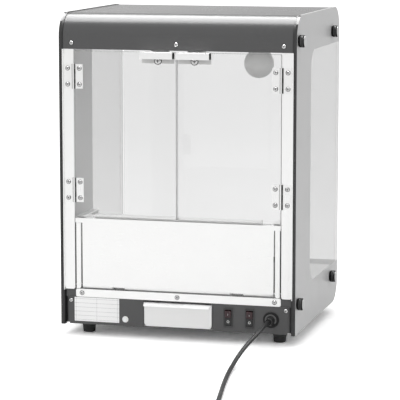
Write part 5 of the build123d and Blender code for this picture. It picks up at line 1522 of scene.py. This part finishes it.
@dataclass
class SmallMouldings:
    """The cable gland, the plug of the spare hole, the feet and the rating plate."""

    levels: Levels
    gland: Pair = (181 * MM, 50 * MM)
    gland_lobe: Pair = (5.5 * MM, -9 * MM)
    sleeve_inset: float = 3 * MM
    sleeve_radii: Pair = (9 * MM, 5.4 * MM)
    sleeve_length: float = 22.5 * MM
    sleeve_rings: int = 5
    sleeve_groove: float = 1 * MM
    plug: Pair = (-101.5 * MM, 36 * MM)
    foot_x: float = 187.5 * MM
    foot_rows: Pair = (-136 * MM, 125 * MM)
    foot_top: float = 24.5
    plate_low: Pair = (-202 * MM, 28.5 * MM)
    plate_high: Pair = (-113.5 * MM, 74.5 * MM)
    plate_corner: float = 1 * MM
    plate_margin: float = 3 * MM
    plate_thickness: float = 0.3 * MM

    def build(self, trees: Trees) -> None:
        """Builds the mouldings."""
        self._gland(trees)
        self._hole_plug()
        self._feet()
        self._plate()

    def _gland(self, trees: Trees) -> None:
        """Builds the gland's flange, its ringed sleeve and the thread behind."""
        x, z = self.gland
        place = outwards(x, self.levels.cover, z)
        bm = lathe(mm((0, -13), (8, -13), (8, 0), (15, 0), (15, 2), (14.2, 2.8), (11, 3), (10.4, 4.4),
                      (0, 4.4)), place)
        for side in Side:
            lobe = Matrix.Translation(Vector((side.value * self.gland_lobe[0], self.gland_lobe[1], 0.0)))
            lathe(mm((0, 1), (4, 1), (4, 5.5), (3.2, 6.3), (0, 6.3)), place @ lobe, 24, bm)
        # The two grey rings, one round the sleeve and one on the flange, are painted highlights on the gland.
        lathe(mm((0, 19.8), (6.4, 19.8), (6.6, 20.4), (6.4, 21), (0, 21)), place, 32, bm, 1)
        lathe(mm((0, 4), (11, 4), (11, 5), (10.4, 5.4), (0, 5.4)), place, 40, bm, 1)
        flange = piece_from(bm, "gland_flange", BLACK, KNOB_RING_GLAND_HIGHLIGHT)
        finish_piece(flange, ROOT, "black_plastic", "cable_gland")
        root = Vector((x, self.levels.cover - self.sleeve_inset, z))
        sleeve = trees.sleeve("gland_sleeve", root, self.sleeve_radii, self.sleeve_length,
                              self.sleeve_rings, self.sleeve_groove)
        finish_piece(sleeve, ROOT, "black_plastic")

    def _hole_plug(self) -> None:
        """Builds the white plug with a dimple in its middle."""
        x, z = self.plug
        bm = lathe(mm((0, -5), (4, -5), (4, 0), (6, 0), (5.9, 0.6), (5.2, 1.2), (3.6, 1.4), (1.6, 1.4),
                      (1.1, 0.8), (0, 0.7)), outwards(x, self.levels.cover, z), 40)
        finish_piece(piece_from(bm, "white_hole_plug", WHITE), ROOT, "white_plastic", "hole_plug")

    def _feet(self) -> None:
        """Builds the four tapered feet, each with a groove and a hollow sole; its top is in millimetres."""
        profile = mm((0, 1.2), (7, 1.2), (8, 0), (10.4, 0), (11.5, 0.9), (12.5, 9.5), (12.1, 10.2),
                     (12.2, 11.2), (12.8, 11.8), (13.9, self.foot_top - 1), (13.7, self.foot_top),
                     (0, self.foot_top))
        bm = bmesh.new()
        for side in Side:
            for y in self.foot_rows:
                lathe(profile, Matrix.Translation(Vector((side.value * self.foot_x, y, 0.0))), 40, bm)
        finish_piece(piece_from(bm, "feet", RUBBER), ROOT, "rubber", "rubber_feet")

    def _plate(self) -> None:
        """Builds the bare rating plate with rounded corners."""
        (x0, z0), (x1, z1), margin = self.plate_low, self.plate_high, self.plate_margin
        corners = rounded(self.plate_low, self.plate_high, self.plate_corner)
        bm = prism([Vector((x, self.levels.cover, z)) for x, z in corners],
                   Vector((0.0, -self.plate_thickness, 0.0)))
        finish = LabelFinish("bare_rating_plate", (0.88, 0.88, 0.88), roughness=0.45, bump=0.002,
                             left=x0 + margin, bottom=z0 + margin, width=(x1 - x0) - 2 * margin,
                             height=(z1 - z0) - 2 * margin)
        finish_piece(piece_from(bm, "plate", finish), ROOT, "plate_metal", "rating_plate")


@dataclass
class Lamp:
    """The lamp bulb with its threaded cap; all but its centre is in millimetres."""

    centre: Triple = (112 * MM, 5 * MM, 510.5 * MM)
    radius: float = 28.5
    cap_radius: float = 12.6
    cap_low: float = 50.0
    cap_high: float = 76.0
    thread_turns: int = 6
    thread_depth: float = 0.45
    thread_steps: int = 6
    thread_gaps: Pair = (1.0, 5.0)

    def build(self) -> None:
        """Builds the bulb: a globe that narrows into a neck, and a rolled screw cap."""
        place = Matrix.Translation(Vector(self.centre))
        low, high = self.cap_low, self.cap_high
        globe = [(0.0, -self.radius), *arc((0.0, 0.0), self.radius, -85, 40, 25), (19.0, 22.5),
                 (16.8, 27), (15.2, 33), (14.0, 41), (12.4, low), (12.2, low + 1), (0, low + 1)]
        bm = lathe(mm(*globe), place, 64)
        steps = self.thread_turns * self.thread_steps
        bottom, top = low + self.thread_gaps[0], high - self.thread_gaps[1]
        thread = [(self.cap_radius + self.thread_depth * math.cos(2 * math.pi * i / self.thread_steps),
                   bottom + (top - bottom) * i / steps) for i in range(steps + 1)]
        lathe(mm((0, low), (12.8, low), *thread, (10.5, high - 3), (5, high - 1), (4, high), (0, high)),
              place, 48, bm, 1)
        finish_piece(piece_from(bm, "globe_bulb", BULB, SOCKET_METAL), ROOT, "bulb_glass", "lamp_bulb")


def dress_nodes(nodes: dict[str, Piece]) -> None:
    """Gives every CAD node its finish."""
    for finish, names in NODE_FINISHES.items():
        material = finish.material()
        for name in names.split():
            node = nodes[name]
            if not node.material_slots:
                node.data.materials.append(material)
            for slot in node.material_slots:
                slot.material = material
            LOG.info("%s: %s", name, finish.name)


def main() -> None:
    """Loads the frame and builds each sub-assembly."""
    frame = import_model()
    bpy.context.scene.view_settings.view_transform = "Standard"
    for build in (build_mottle, build_grain, build_smudges, build_band):
        build()
    Studio().build()
    levels = Levels()
    trees = Trees()
    MainsCord().build(trees, frame["nodes"]["cord_tie"])
    dress_nodes(frame["nodes"])
    SidePanes(levels).build()
    Doors(levels).build(trees)
    CabinetScrews(levels).build(trees)
    Knobs(levels).build(trees)
    Sheetwork(levels).build(trees)
    GapSeals().build()
    Switches().build()
    SmallMouldings(levels).build(trees)
    Lamp().build()


if __name__ == "__main__":
    logging.basicConfig(level=logging.INFO, format="%(name)s: %(message)s")
    main()
